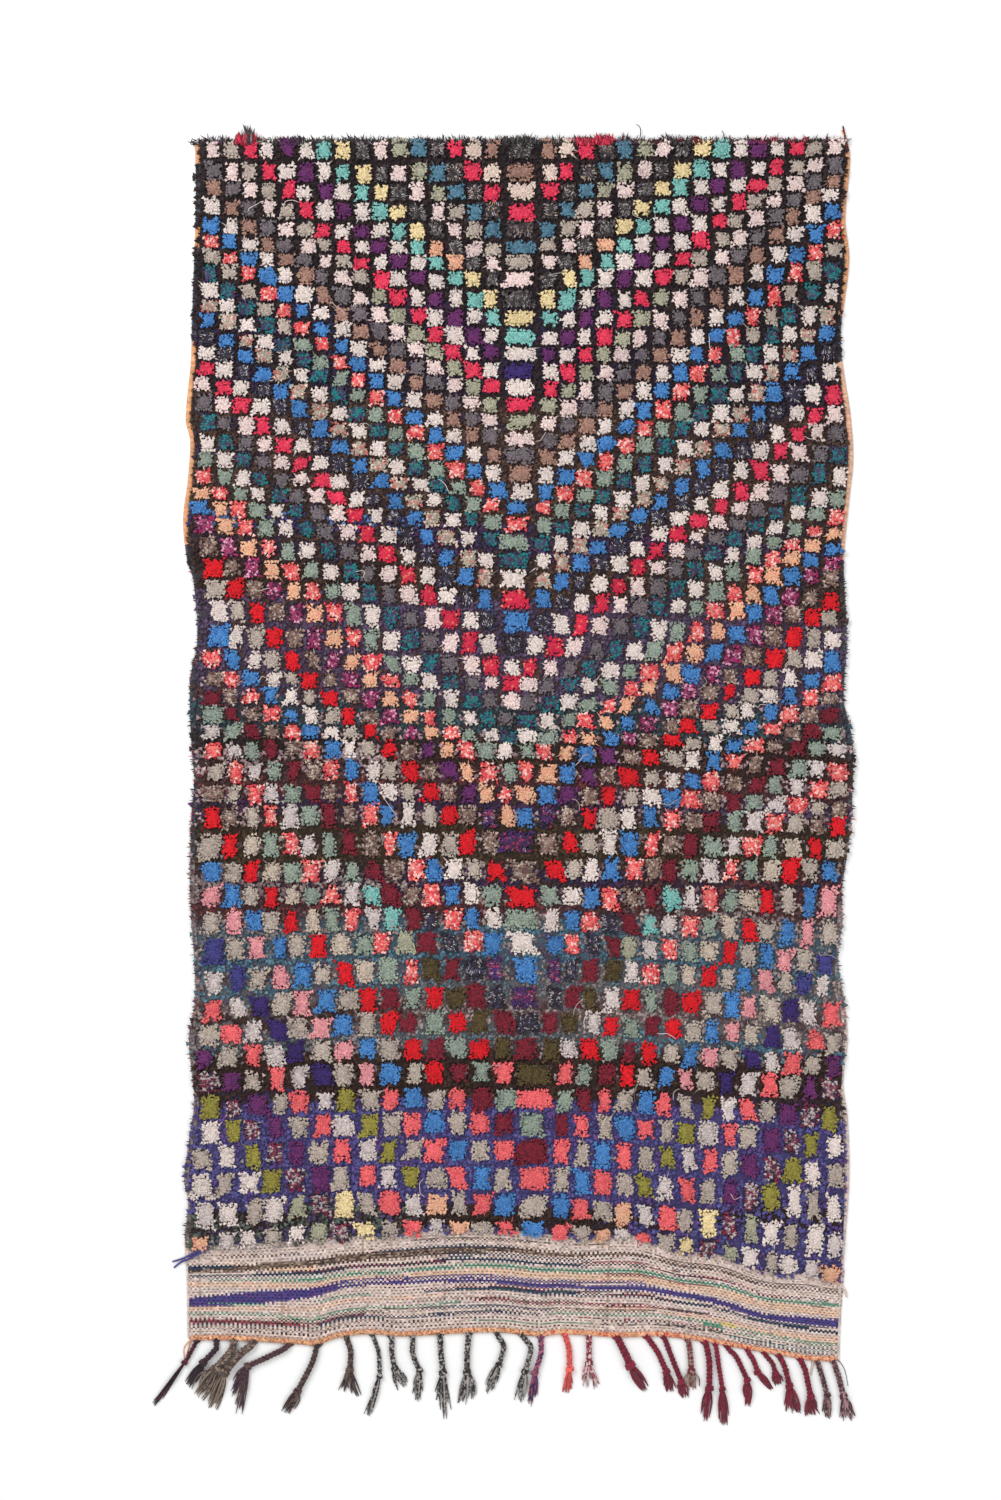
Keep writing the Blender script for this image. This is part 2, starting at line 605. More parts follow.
@dataclass
class Locks:
    """Many placed stamps, one row of numbers each, in millimetres in the rug's plane."""

    across: Array
    along: Array
    foot: Array
    height: Array
    wide: Array
    deep: Array
    turn: Array
    lean: Array
    colour: Array
    curl: float = 1.5

    def corners(self, stamp: Stamp) -> Array:
        """Place every corner of every stamp.

        Args:
            stamp: The shape that is repeated.

        Returns:
            Corner places in metres, stamp after stamp.
        """
        shape_x, shape_y, level = stamp.corners.T
        cosine, sine = np.cos(self.turn)[:, None], np.sin(self.turn)[:, None]
        wide, deep = self.wide[:, None] * shape_x, self.deep[:, None] * shape_y
        bend = np.clip(level, 0, None) ** self.curl
        placed = np.empty((len(self.across), len(level), 3))
        placed[..., 0] = (self.across[:, None] + cosine * wide - sine * deep
                          + self.lean[:, :1] * bend + PLANE_SHIFT[0])
        placed[..., 1] = (self.along[:, None] + sine * wide + cosine * deep
                          + self.lean[:, 1:] * bend + PLANE_SHIFT[1])
        placed[..., 2] = self.foot[:, None] + self.height[:, None] * level
        return placed.reshape(-1, 3) * MM

    @staticmethod
    def joined(parts: list["Locks"]) -> "Locks":
        """Join several sets of stamps into one."""
        return Locks(*(np.concatenate([getattr(part, name) for part in parts])
                       for name in Locks.__dataclass_fields__ if name != "curl"),
                     parts[0].curl)


def stamped_mesh(name: str, sets: list[tuple[Stamp, Locks]]) -> Mesh:
    """Join placed stamps into one mesh that carries their dyes.

    Args:
        name: The mesh's name.
        sets: Each stamp with the places that it is repeated at.

    Returns:
        The mesh.
    """
    corners, triangles, colours, offset = [], [], [], 0
    for stamp, locks in sets:
        count, size = len(locks.across), len(stamp.corners)
        corners.append(locks.corners(stamp))
        steps = offset + np.arange(count)[:, None, None] * size
        triangles.append((stamp.triangles[None] + steps).reshape(-1, 3))
        colours.append(np.repeat(locks.colour, size, axis=0))
        offset += count * size
    return mesh_from_arrays(name, np.concatenate(corners), np.concatenate(triangles),
                            np.concatenate(colours))


def mesh_from_arrays(name: str, corners: Array, triangles: Array, colours: Array) -> Mesh:
    """Make a smooth-shaded mesh whose corners carry a dye.

    Args:
        name: The mesh's name.
        corners: Corner places in metres.
        triangles: Three corner numbers a row.
        colours: One linear colour for each corner.

    Returns:
        The mesh.
    """
    mesh = bpy.data.meshes.new(name)
    mesh.vertices.add(len(corners))
    mesh.vertices.foreach_set("co", corners.ravel())
    mesh.loops.add(triangles.size)
    mesh.loops.foreach_set("vertex_index", triangles.ravel())
    mesh.polygons.add(len(triangles))
    mesh.polygons.foreach_set("loop_start", np.arange(0, triangles.size, 3))
    mesh.update(calc_edges=True)
    mesh.shade_smooth()
    carry_dye(mesh, "yarn", colours)
    return mesh


def carry_dye(mesh: Mesh, name: str, colours: Array) -> None:
    """Store a dye, one linear colour for each corner, under a name on a mesh."""
    dye = mesh.color_attributes.new(name, "FLOAT_COLOR", "POINT")
    dye.data.foreach_set("color", np.column_stack([colours, np.ones(len(colours))]).ravel())


@dataclass
class PileChart:
    """Where each knotted square is, and the yarn that it is knotted in."""

    rows: int = 53
    top: float = 1447.0
    side_line: float = 1.9
    row_line: float = 1.7
    line_growth: float = 0.08
    usual_pitch: float = 17.0
    first_step: float = 13.0
    narrow_step: float = 19.0
    left_margin: float = 18.0
    right_margin: float = 15.0

    def boundary(self, row: int, across: Array) -> Array:
        """Read the line halfway between a row of squares and the next.

        Args:
            row: The row above the line, 0 for the frayed end.
            across: Where it is read, in millimetres.

        Returns:
            Where the line is along the rug, in millimetres.
        """
        if row == 0:
            return np.full_like(across, self.top)
        if row == self.rows:
            return PILE_FOOT.at(across)
        return (self.middle(row, across) + self.middle(row + 1, across)) / 2

    def middle(self, row: int, across: Array) -> Array:
        """Read the middle line of a row of squares.

        Args:
            row: The row, from 1.
            across: Where it is read, in millimetres.

        Returns:
            Where the line is along the rug, in millimetres.
        """
        places = across_mm(ROW_PLACES)
        values = along_mm(ROW_LINES[row - 1])
        share = (across - places[0]) / (places[2] - places[0])
        straight = values[0] + (values[2] - values[0]) * share
        mid = (places[1] - places[0]) / (places[2] - places[0])
        sag = values[1] - values[0] - (values[2] - values[0]) * mid
        return straight + sag * np.clip(share * (1 - share), -0.04, 1) / (mid * (1 - mid))

    def sides(self, row: int) -> tuple[int, int]:
        """How many squares a row has left and right of its middle one."""
        return next(counts for last, counts in SIDE_COUNTS if row <= last)

    def chevron(self, row: int, column: int) -> int:
        """The chevron that a square belongs to.

        Args:
            row: The row, from 1.
            column: The column, 0 for the middle and below 0 for the left.

        Returns:
            The chevron's number, from 1.
        """
        step = abs(column)
        if row <= 22:
            return row + step
        if row <= 37:
            return row + step + (1 if column < 0 and row + step >= 38 else 0)
        if row <= 46:
            skipped = row >= 42 and column < 0 and row + 1 + step >= 49
            return row + 1 + step + (1 if skipped else 0)
        if row == 47 and column == 0:
            return 48
        return row + 2 + step

    def yarn(self, row: int, column: int) -> str:
        """The name of a square's yarn.

        Args:
            row: The row, from 1.
            column: The column, 0 for the middle.

        Returns:
            The yarn's name.
        """
        number = self.chevron(row, column)
        if number in MIDDLE_YARNS and abs(column) < 1:
            return MIDDLE_YARNS[number]
        name = CHEVRONS[min(number, len(CHEVRONS)) - 1]
        for first, other in RUN_OUT.get(number, ()):
            if row >= first:
                name = other
        return name

    def squares(self, row: int) -> tuple[Array, Array, Array]:
        """Lay out a row's squares.

        Args:
            row: The row, from 1.

        Returns:
            Their columns, where each is across the rug, and half its width, in millimetres.
        """
        rows, places, halves = np.array(MIDDLE_SQUARES).T
        centre = across_mm(np.interp(row, rows, places))
        half = np.interp(row, rows, halves) * UNIT
        left, right = self.sides(row)
        step = (self.narrow_step * UNIT if 29 <= row <= 37 else half + self.first_step * UNIT)
        along = self.middle(row, np.array([0.0]))[0]
        wide_first = 23 <= row <= 44
        start = LEFT.at(along) + (self.left_margin + 4 * wide_first) * UNIT
        end = RIGHT.at(along) - self.right_margin * UNIT
        left_places = np.linspace(start, centre - step, left)
        right_places = np.linspace(centre + step, end, right)
        left_half = (left_places[1] - left_places[0]) / 2 - self.side_line * UNIT
        right_half = (right_places[1] - right_places[0]) / 2 - self.side_line * UNIT
        columns = np.arange(-left, right + 1)
        across = np.concatenate([left_places, [centre], right_places])
        halves = np.concatenate([np.full(left, left_half), [half], np.full(right, right_half)])
        halves[0] *= 1.3 if wide_first else 1.0
        return columns, across, halves


class Lay(Enum):
    """How the cut ends of a knotted square lie."""

    STAR = 0
    PARTED = 1
    COMBED = 2
    BRUSHED = 3


@dataclass
class KnottedRow:
    """The squares of one row as they were knotted, no two of them quite alike."""

    centres: Array
    mids: Array
    halves: Array
    talls: Array
    waist: Array
    taper: Array
    tilt: Array
    notch_side: Array
    notch_place: Array
    notch_depth: Array
    parting: Array

    @classmethod
    def knotted(cls, chart: PileChart, row: int, rng: Rng) -> "KnottedRow":
        """Knot a row of the chart.

        Args:
            chart: The chart.
            row: The row, from 1.
            rng: The random source.

        Returns:
            The row's squares.
        """
        _, centres, halves = chart.squares(row)
        count = len(centres)
        above = chart.boundary(row - 1, centres)
        below = chart.boundary(row, centres)
        line = UNIT * (chart.row_line + chart.line_growth
                       * np.clip((above - below) / UNIT - chart.usual_pitch, 0, None))
        talls = np.clip((above - below) / 2 - line, 8, None) * rng.uniform(0.82, 1.06, count)
        mids = (above + below) / 4 + chart.middle(row, centres) / 2 + rng.normal(0, 1.6, count)
        uneven = 1.0 if row < 29 else 1.4
        return cls(
            centres + rng.normal(0, 2.0 * uneven, count), mids,
            halves * rng.uniform(0.92 - 0.2 * uneven, 1.0, count), talls,
            rng.uniform(-0.18, 0.42, count) * uneven, rng.normal(0, 0.1, count) * uneven,
            rng.normal(0, 0.08, count) * uneven, rng.choice([-1.0, 1.0], count),
            rng.uniform(-0.5, 0.5, count),
            rng.uniform(0.1, 0.55, count) * (rng.random(count) < 0.5),
            np.where(rng.random(count) < 0.22, rng.uniform(-0.25, 0.25, count), 9.0))

    def nearest(self, across: Array) -> Array:
        """The number of the square that each place across the rug is nearest to."""
        edges = (self.centres[:-1] + self.halves[:-1] + self.centres[1:] - self.halves[1:]) / 2
        return np.searchsorted(edges, across)

    def shares(self, across: Array, along: Array, cell: Array) -> tuple[Array, Array]:
        """Where points are in their squares.

        Args:
            across: The points' places across the rug.
            along: Their places along it.
            cell: The square of each point.

        Returns:
            Shares across and along, -1 and 1 at a square's even sides.
        """
        v = (along - self.mids[cell]) / self.talls[cell]
        u = (across - self.centres[cell]) / self.halves[cell] - self.tilt[cell] * v
        return u / self.widening(v, cell), v - self.tilt[cell] * u * 0.6

    def widening(self, v: Array, cell: Array) -> Array:
        """How much wider than even each square is at a share along it."""
        return 1 + self.waist[cell] * (v ** 2 - 0.4) + self.taper[cell] * v

    def placed(self, u: Array, v: Array, cell: Array) -> tuple[Array, Array]:
        """Turn shares of squares back into places across and along the rug."""
        wide = self.halves[cell] * (u * self.widening(v, cell) + self.tilt[cell] * v)
        return self.centres[cell] + wide, self.mids[cell] + self.talls[cell] * v

    def edge(self, u: Array, v: Array, cell: Array) -> Array:
        """How far out points are in their squares, notches counted in.

        Args:
            u: Shares across.
            v: Shares along.
            cell: The square of each point.

        Returns:
            Shares of the way from a square's middle to its side.
        """
        even = (np.abs(u) ** 8 + np.abs(v) ** 8) ** (1 / 8)
        notch = np.exp(-((u - self.notch_place[cell]) / 0.2) ** 2)
        return even + self.notch_depth[cell] * notch * np.clip(v * self.notch_side[cell], 0, 1)


@dataclass
class KnottedPile:
    """The cut pile, in bands of rows that are one piece each."""

    chart: PileChart
    pitch: float = 5.3
    ground_pitch: float = 8.6
    foot: float = 8.0
    square_top: float = 18.4
    ground_top: float = 12.8
    bands: tuple = (8, 16, 24, 32, 39, 46, 53)
    crown: float = 1.4
    lump: float = 1.8
    lump_length: float = 110.0
    lump_layer: float = 3.7
    ragged: float = 0.17
    ragged_length: float = 11.0
    reach_change: float = 490.0
    lying: int = 7
    spikes: tuple = (1, 7)
    shaggy_row: int = 30
    crease: float = 72.0
    crease_rows: int = 25

    def build(self) -> list[Object]:
        """Build the pile's bands and dress them.

        Returns:
            The pieces, from the frayed end down.
        """
        stamps = (Stamp.spindle(0.9), Stamp.mound(), Stamp.spindle(0.3))
        pieces, first = [], 1
        for number, last in enumerate(self.bands, start=1):
            rng = np.random.default_rng(SEED + number)
            rows = [self.row(row, rng) for row in range(first, last + 1)]
            sets = [(stamp, Locks.joined(list(parts))) for stamp, parts in zip(stamps, zip(*rows))]
            mesh = stamped_mesh(f"pile_band_{number}", sets)
            pieces.append(place_piece(mesh, PILE_FINISH, Part.PILE))
            first = last + 1
        return pieces

    def row(self, row: int, rng: Rng) -> tuple[Locks, Locks, Locks]:
        """Knot one row: its squares, and the yarn between them.

        Args:
            row: The row, from 1.
            rng: The random source.

        Returns:
            The cut ends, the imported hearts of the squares, and the strands that lie on top.
        """
        squares = KnottedRow.knotted(self.chart, row, rng)
        columns = self.chart.squares(row)[0]
        names = [self.chart.yarn(row, column) for column in columns]
        light = rng.normal(1.0, 0.05, (len(names), 1))
        across, along = self.roots(row, rng)
        cell = squares.nearest(across)
        u, v = squares.shares(across, along, cell)
        waves = soft_lumps(across, along, self.ragged_length, 1.4 + row)
        edge = squares.edge(u, v, cell) + self.ragged * waves
        creased = (row <= self.crease_rows) & (np.abs(across - self.crease) < 4.2)
        inside = (edge < 1) & ~creased
        keep = inside | (rng.random(len(u)) < (self.pitch / self.ground_pitch) ** 2)
        keep &= ~inside | (np.abs(u - squares.parting[cell]) > 0.09)
        across, along, cell, u, v, edge, inside = (
            values[keep] for values in (across, along, cell, u, v, edge, inside))
        colour = self.colours(row, names, cell, inside, across, along, squares, rng)
        colour[inside] *= light[cell[inside]]
        lean = self.lean(u, v, inside, rng) + self.rim(row, across, along, rng)
        top = np.where(inside, self.square_top - self.crown * np.clip(edge, 0, 1.1) ** 3,
                       self.ground_top)
        top = top + self.lumps(across, along) + rng.normal(0, 0.45, len(u))
        wide = np.where(inside, 5.4, 7.4) * rng.uniform(0.85, 1.15, len(u))
        deep = wide * rng.uniform(0.75, 1.0, len(u))
        turn = rng.uniform(0, math.tau, len(u))
        foot = np.full(len(u), self.foot)
        ends = Locks(across, along, foot, top - foot, wide, deep, turn, lean, colour)
        count = len(names)
        hearts = Locks(
            squares.centres, squares.mids - squares.notch_side * squares.notch_depth * 5,
            5.0 + self.lumps(squares.centres, squares.mids), np.full(count, 12.0), squares.halves * 0.86,
            squares.talls * (0.86 - 0.5 * squares.notch_depth), np.zeros(count),
            np.zeros((count, 2)), np.array([YARNS[name].mean() for name in names]) * light)
        strands = Locks.joined([self.strands(row, squares, names, light, rng),
                                self.rim_tufts(row, names, rng)])
        return ends, hearts, strands

    def lumps(self, across: Array, along: Array) -> Array:
        """How much higher or lower the pile is at each point, in millimetres."""
        return soft_lumps(across, along, self.lump_length, self.lump_layer) * self.lump

    def roots(self, row: int, rng: Rng) -> tuple[Array, Array]:
        """Scatter the roots of a row's cut ends evenly.

        Args:
            row: The row, from 1.
            rng: The random source.

        Returns:
            Where each root is across and along the rug, in millimetres.
        """
        places = np.arange(-735.0, 797.0, self.pitch)
        above = self.chart.boundary(row - 1, places)
        below = self.chart.boundary(row, places)
        lines = max(3, round(float(np.mean(above - below)) / self.pitch))
        steps = (np.arange(lines)[:, None] + 0.5 + rng.uniform(-0.35, 0.35, (lines, len(places))))
        along = above - (above - below) * steps / lines
        across = places + (np.arange(lines) % 2)[:, None] * self.pitch / 2
        across = across + rng.uniform(-0.35, 0.35, across.shape) * self.pitch
        across, along = across.ravel(), along.ravel()
        within = ((across > LEFT.at(along) + LEFT_BARE_LINE.at(along))
                  & (across < RIGHT.at(along) - RIGHT_BARE_LINE.at(along)))
        return across[within], along[within]

    def colours(self, row: int, names: list[str], cell: Array, inside: Array,
                across: Array, along: Array, squares: KnottedRow,
                rng: Rng) -> Array:
        """Dye a row's cut ends.

        Args:
            row: The row, from 1.
            names: The yarn of each square.
            cell: The square that each end is nearest to.
            inside: Whether an end belongs to its square.
            across: Where each end is across the rug.
            along: Where it is along the rug.
            squares: The row's squares.
            rng: The random source.

        Returns:
            One linear colour for each end.
        """
        colour = np.empty((len(cell), 3))
        for number, name in enumerate(names):
            mine = inside & (cell == number)
            colour[mine] = YARNS[name].pick(rng, int(mine.sum()), 0.03)
        field = soft_lumps(across, along, 30.0, 6.1)
        third = self.third(across, rng)
        low = np.abs(along - squares.mids[cell]) < squares.talls[cell] * 0.8
        smeared = ~inside & low & (rng.random(len(cell)) < self.smear(row))
        for is_upper in (True, False):
            upper = (along > squares.mids[cell]) == is_upper
            for side in range(3):
                mine = ~inside & upper & (third == side)
                yarn = YARNS[self.ground_yarn(row - int(is_upper), side)]
                colour[mine] = yarn.patches(field[mine], rng, 0.08)
        pale = YARNS["pink_grey" if row < 38 else "taupe_grey"]
        colour[smeared] = pale.patches(field[smeared], rng, 0.08)
        return colour

    @staticmethod
    def smear(row: int) -> float:
        """How much of the yarn between a row's squares is pale, spilled from the squares."""
        return float(np.interp(row, [28, 34, 45, 48], [0.0, 0.65, 0.55, 0.05]))

    @staticmethod
    def third(across: Array, rng: Rng) -> Array:
        """The third of the rug that each point is in: 0, 1 or 2, mixed where they meet."""
        mixed = across + 40 * rng.standard_normal(len(across))
        return np.clip((mixed + 720) // 500, 0, 2).astype(int)

    @staticmethod
    def ground_yarn(row: int, side: int) -> str:
        """The name of the yarn between the squares below a row, in a third of the rug."""
        return [entry for entry in GROUND_YARNS if entry[0] <= row][-1][side + 1]

    def lays(self, row: int, centres: Array, rng: Rng) -> Array:
        """Choose how each square's ends lie: combed sideways at the lower left.

        Args:
            row: The row, from 1.
            centres: Where the squares are across the rug.
            rng: The random source.

        Returns:
            One value of Lay for each square.
        """
        kinds = [Lay.STAR.value, Lay.PARTED.value, Lay.BRUSHED.value]
        chosen = rng.choice(kinds, len(centres), p=[0.35, 0.25, 0.4])
        combed = (centres < -430) & (row >= 31) & (rng.random(len(centres)) < 0.8)
        combed |= (row >= 34) & (rng.random(len(centres)) < 0.25)
        chosen[combed] = Lay.COMBED.value
        return chosen

    def lean(self, u: Array, v: Array, inside: Array, rng: Rng) -> Array:
        """Work out how far each cut end leans.

        Args:
            u: Where the end is across its square, -1 to 1.
            v: Where it is along its square, -1 to 1.
            inside: Whether it belongs to the square.
            rng: The random source.

        Returns:
            How far each tip is from above its root, across and along, in millimetres.
        """
        lean = np.column_stack([2.2 * u * np.abs(u), 2.2 * v * np.abs(v)])
        lean[~inside] = 0
        return lean + rng.normal(0, 0.8, lean.shape)

    def strands(self, row: int, squares: KnottedRow, names: list[str], light: Array,
                rng: Rng) -> Locks:
        """Lay loose strands on the squares, and spikes out past their sides.

        Args:
            row: The row, from 1.
            squares: The row's squares.
            names: The yarn of each square.
            light: How light each square is.
            rng: The random source.

        Returns:
            The strands.
        """
        shaggy = row >= self.shaggy_row
        lays = self.lays(row, squares.centres, rng)
        lying = self.lying + (lays == Lay.COMBED.value) * 12
        more = np.array([YARNS[name].more for name in names])
        lying = lying + more
        every = lying + rng.integers(*self.spikes, len(names))
        cell = np.repeat(np.arange(len(names)), every)
        starts = np.cumsum(every) - every
        spike = np.arange(len(cell)) - starts[cell] >= lying[cell]
        count = len(cell)
        side = rng.integers(0, 4, count)
        slide = rng.uniform(-0.96, 0.96, count)
        rim = 0.84 * np.where(side % 2, 1, -1)
        u = np.where(spike, np.where(side < 2, slide, rim), rng.uniform(-0.8, 0.8, count))
        v = np.where(spike, np.where(side < 2, rim, slide), rng.uniform(-0.8, 0.8, count))
        combed = ~spike & (lays[cell] == Lay.COMBED.value)
        u = np.where(combed, u * 0.25, u)
        across, along = squares.placed(u, v, cell)
        out = np.arctan2(v * squares.talls[cell], u * squares.halves[cell])
        sideways = np.where(u > 0, 0.0, math.pi)
        brushed = (rng.normal(0, 0.5, len(names))
                   + rng.choice([-1, 1], len(names)) * math.pi / 2)[cell]
        heading = np.select(
            [spike | (lays[cell] == Lay.STAR.value), lays[cell] == Lay.BRUSHED.value],
            [out, brushed], sideways)
        loose = np.where(spike, 0.45, np.where(combed, 0.12, 0.4))
        heading = heading + rng.normal(0, 1, count) * loose
        shag = rng.uniform(0.55, 1.35, len(names))[cell] * (1.15 if shaggy else 1.0)
        reach = np.where(spike, rng.gamma(4.0, 2.3, count).clip(4, 17) * shag,
                         rng.uniform(6, 11, count))
        reach = np.where(combed, squares.halves[cell] * rng.uniform(0.75, 1.2, count), reach)
        lean = np.column_stack([np.cos(heading), np.sin(heading)]) * reach[:, None]
        thin = (more[cell] > 0) & ~spike
        wide = np.where(spike, rng.uniform(1.8, 3.4, count), rng.uniform(1.3, 2.2, count))
        wide = np.where(thin, rng.uniform(1.3, 2.0, count), wide)
        foot = np.where(spike, 14.2, 16.4) + self.lumps(across, along)
        height = np.where(spike, rng.uniform(1.4, 3.6, count), rng.uniform(2.0, 3.0, count))
        colour = np.empty((count, 3))
        for number, name in enumerate(names):
            mine = cell == number
            loose_ends, edge_ends = mine & ~spike, mine & spike
            colour[loose_ends] = YARNS[name].strands(rng, int(loose_ends.sum()), 0.06)
            colour[edge_ends] = YARNS[name].pick(rng, int(edge_ends.sum()), 0.05)
        colour *= light[cell]
        return Locks(across, along, foot, height, wide, wide * 0.8, heading, lean, colour, 1.0)

    def rim(self, row: int, across: Array, along: Array, rng: Rng) -> Array:
        """Work out how the ends at the pile's rim spill over it.

        Args:
            row: The row, from 1.
            across: Where each end is across the rug.
            along: Where it is along the rug.
            rng: The random source.

        Returns:
            How far each tip is pushed out, across and along, in millimetres.
        """
        reach = rng.uniform(1, 7, len(across))
        push = np.zeros((len(across), 2))
        from_left = across - LEFT.at(along) - LEFT_BARE_LINE.at(along)
        from_right = RIGHT.at(along) - RIGHT_BARE_LINE.at(along) - across
        push[:, 0] -= np.clip(1 - from_left / 8, 0, 1) * reach
        push[:, 0] += np.clip(1 - from_right / 8, 0, 1) * reach
        if row == 1:
            from_top = self.chart.top - along
            push[:, 1] += np.clip(1 - from_top / 12, 0, 1) * rng.uniform(2, 10, len(across))
        if row == self.chart.rows:
            from_foot = along - PILE_FOOT.at(across)
            push[:, 1] -= np.clip(1 - from_foot / 9, 0, 1) * rng.uniform(2, 10, len(across))
        return push

    def rim_tufts(self, row: int, names: list[str], rng: Rng) -> Locks:
        """Let tufts hang over the long edges beside a row.

        Args:
            row: The row, from 1.
            names: The yarn of each of the row's squares.
            rng: The random source.

        Returns:
            The tufts.
        """
        parts = []
        for sign, line, bare, name in ((-1, LEFT, LEFT_BARE_LINE, names[0]),
                                       (1, RIGHT, RIGHT_BARE_LINE, names[-1])):
            above, below = (float(self.chart.boundary(number, np.array([sign * 715.0]))[0])
                            for number in (row - 1, row))
            count = round((above - below) / 3.4)
            along = np.linspace(above, below, count) + rng.uniform(-1.5, 1.5, count)
            inset = bare.at(along)
            across = line.at(along) - sign * (inset + rng.uniform(-1, 4, count))
            reach = np.where(along > self.reach_change, rng.gamma(2.2, 2.0, count).clip(1.5, 12),
                             rng.gamma(3.0, 2.0, count).clip(2, 13))
            lean = np.column_stack([sign * reach, rng.normal(0, 2.4, count)])
            wide = rng.uniform(1.6, 3.2, count)
            yarn = YARNS[self.ground_yarn(row, 1 + sign)]
            colour = yarn.pick(rng, count, 0.12)
            own = rng.random(count) < (0.1 if row < 26 else 0.3)
            colour[own] = YARNS[name].pick(rng, int(own.sum()), 0.08)
            parts.append(Locks(across, along, rng.uniform(7.5, 12, count),
                               rng.uniform(-1.5, 3, count), wide, wide * 0.8,
                               np.zeros(count), lean, colour, 1.0))
        return Locks.joined(parts)


def gridded(columns: int, rows: int, place: callable) -> BMesh:
    """Make a grid and move each corner where it belongs.

    Args:
        columns: How many faces there are across.
        rows: How many there are along.
        place: Gives a corner's place in millimetres from its share across and along.

    Returns:
        The bmesh, in metres.
    """
    bm = bmesh.new()
    bmesh.ops.create_grid(bm, x_segments=columns, y_segments=rows, size=0.5)
    for vert in bm.verts:
        x, y, z = place(vert.co.x + 0.5, vert.co.y + 0.5)
        vert.co = ((x + PLANE_SHIFT[0]) * MM, (y + PLANE_SHIFT[1]) * MM, z * MM)
    return bm


def close_below(bm: BMesh, bottom: float) -> None:
    """Turn an open sheet into a closed slab with a flat underside.

    Args:
        bm: The sheet, which faces up.
        bottom: The underside's height in millimetres.
    """
    rim = [edge for edge in bm.edges if edge.is_boundary]
    grown = bmesh.ops.extrude_edge_only(bm, edges=rim)["geom"]
    for item in grown:
        if isinstance(item, BMVert):
            item.co.z = bottom * MM
    low = [item for item in grown if isinstance(item, BMEdge) and item.is_boundary]
    bmesh.ops.holes_fill(bm, edges=low, sides=0)
    bm.verts.index_update()
    count = len(bm.verts)

    def rank(face: BMFace) -> int:
        """Number a face by its corners, so that each run lists the faces in one order."""
        numbers = [vert.index for vert in face.verts]
        return min(numbers) * count + max(numbers)

    bm.faces.sort(key=rank)


def finished_mesh(bm: BMesh, name: str) -> Mesh:
    """Turn a bmesh into a mesh whose faces point out.

    Args:
        bm: The bmesh, which is freed.
        name: The mesh's name.

    Returns:
        The mesh.
    """
    bmesh.ops.recalc_face_normals(bm, faces=bm.faces)
    mesh = bpy.data.meshes.new(name)
    bm.to_mesh(mesh)
    bm.free()
    mesh.shade_smooth()
    return mesh


@dataclass
class PileBed:
    """The rows of knots packed under the cut pile, seen as dark between the ends."""

    chart: PileChart
    columns: int = 40
    rows: int = 70
    inset: float = 13.0
    bottom: float = 4.3
    top: float = 9.4
    lump: float = 0.8

    def build(self) -> Object:
        """Build the bed and dress it.

        Returns:
            The piece.
        """
        bm = gridded(self.columns, self.rows, self.place)
        close_below(bm, self.bottom)
        mesh = finished_mesh(bm, "pile_bed")
        along = np.empty(len(mesh.vertices) * 3)
        mesh.vertices.foreach_get("co", along)
        along = along.reshape(-1, 3)[:, 1] / MM
        lines = along_mm([line[1] for line in ROW_LINES])
        row = np.interp(-along, -lines, np.arange(1, self.chart.rows + 1))
        colours = np.empty((len(along), 3))
        for start, _, name, _ in GROUND_YARNS:
            colours[row >= start] = YARNS[name].mean() * 0.75
        carry_dye(mesh, "yarn", colours)
        return place_piece(mesh, BED_FINISH, Part.PILE)

    def place(self, share_across: float, share_along: float) -> tuple[float, float, float]:
        """Where a corner of the bed's top is.

        Args:
            share_across: Its share of the way across.
            share_along: Its share of the way from the flat-woven end.

        Returns:
            Its place in millimetres.
        """
        guess = -1060.0 + (self.chart.top - 5.0 + 1060.0) * share_along
        across = between_edges(share_across, guess, self.inset)
        foot = float(PILE_FOOT.at(across)) + 4.0
        along = foot + (self.chart.top - 5.0 - foot) * share_along
        rise = noise.noise(Vector((across / 60, along / 60, 2.2))) * self.lump
        on_rim = min(share_across, 1 - share_across, share_along, 1 - share_along) < 1e-6
        return across, along, self.top + rise - (1.6 if on_rim else 0.0)


@dataclass(frozen=True)
class Stripe:
    """A stripe of weft: (share across, share along, width) where it starts, turns and ends."""

    yarn: Yarn
    course: Array
    dotted: bool = False

    def covers(self, across: float, along: float, parity: int, skipped: int) -> bool:
        """Whether the stripe's weft shows at a crossing.

        Args:
            across: The crossing's share of the way across the cloth.
            along: Its share of the way from the pile to the twined cord.
            parity: 0 or 1, on alternate warps.
            skipped: 1 where a dotted stripe leaves the crossing out, and otherwise 0.

        Returns:
            True where it shows.
        """
        places, middles, widths = self.course.T
        if not places[0] <= across <= places[-1] or (self.dotted and skipped):
            return False
        offset = along + (parity - 0.5) * WARP_STAGGER - np.interp(across, places, middles)
        return abs(offset) < np.interp(across, places, widths) / 2


# How far apart along the rug a stripe's edge lies on neighbouring warps, as a share of the weave
WARP_STAGGER = 0.018

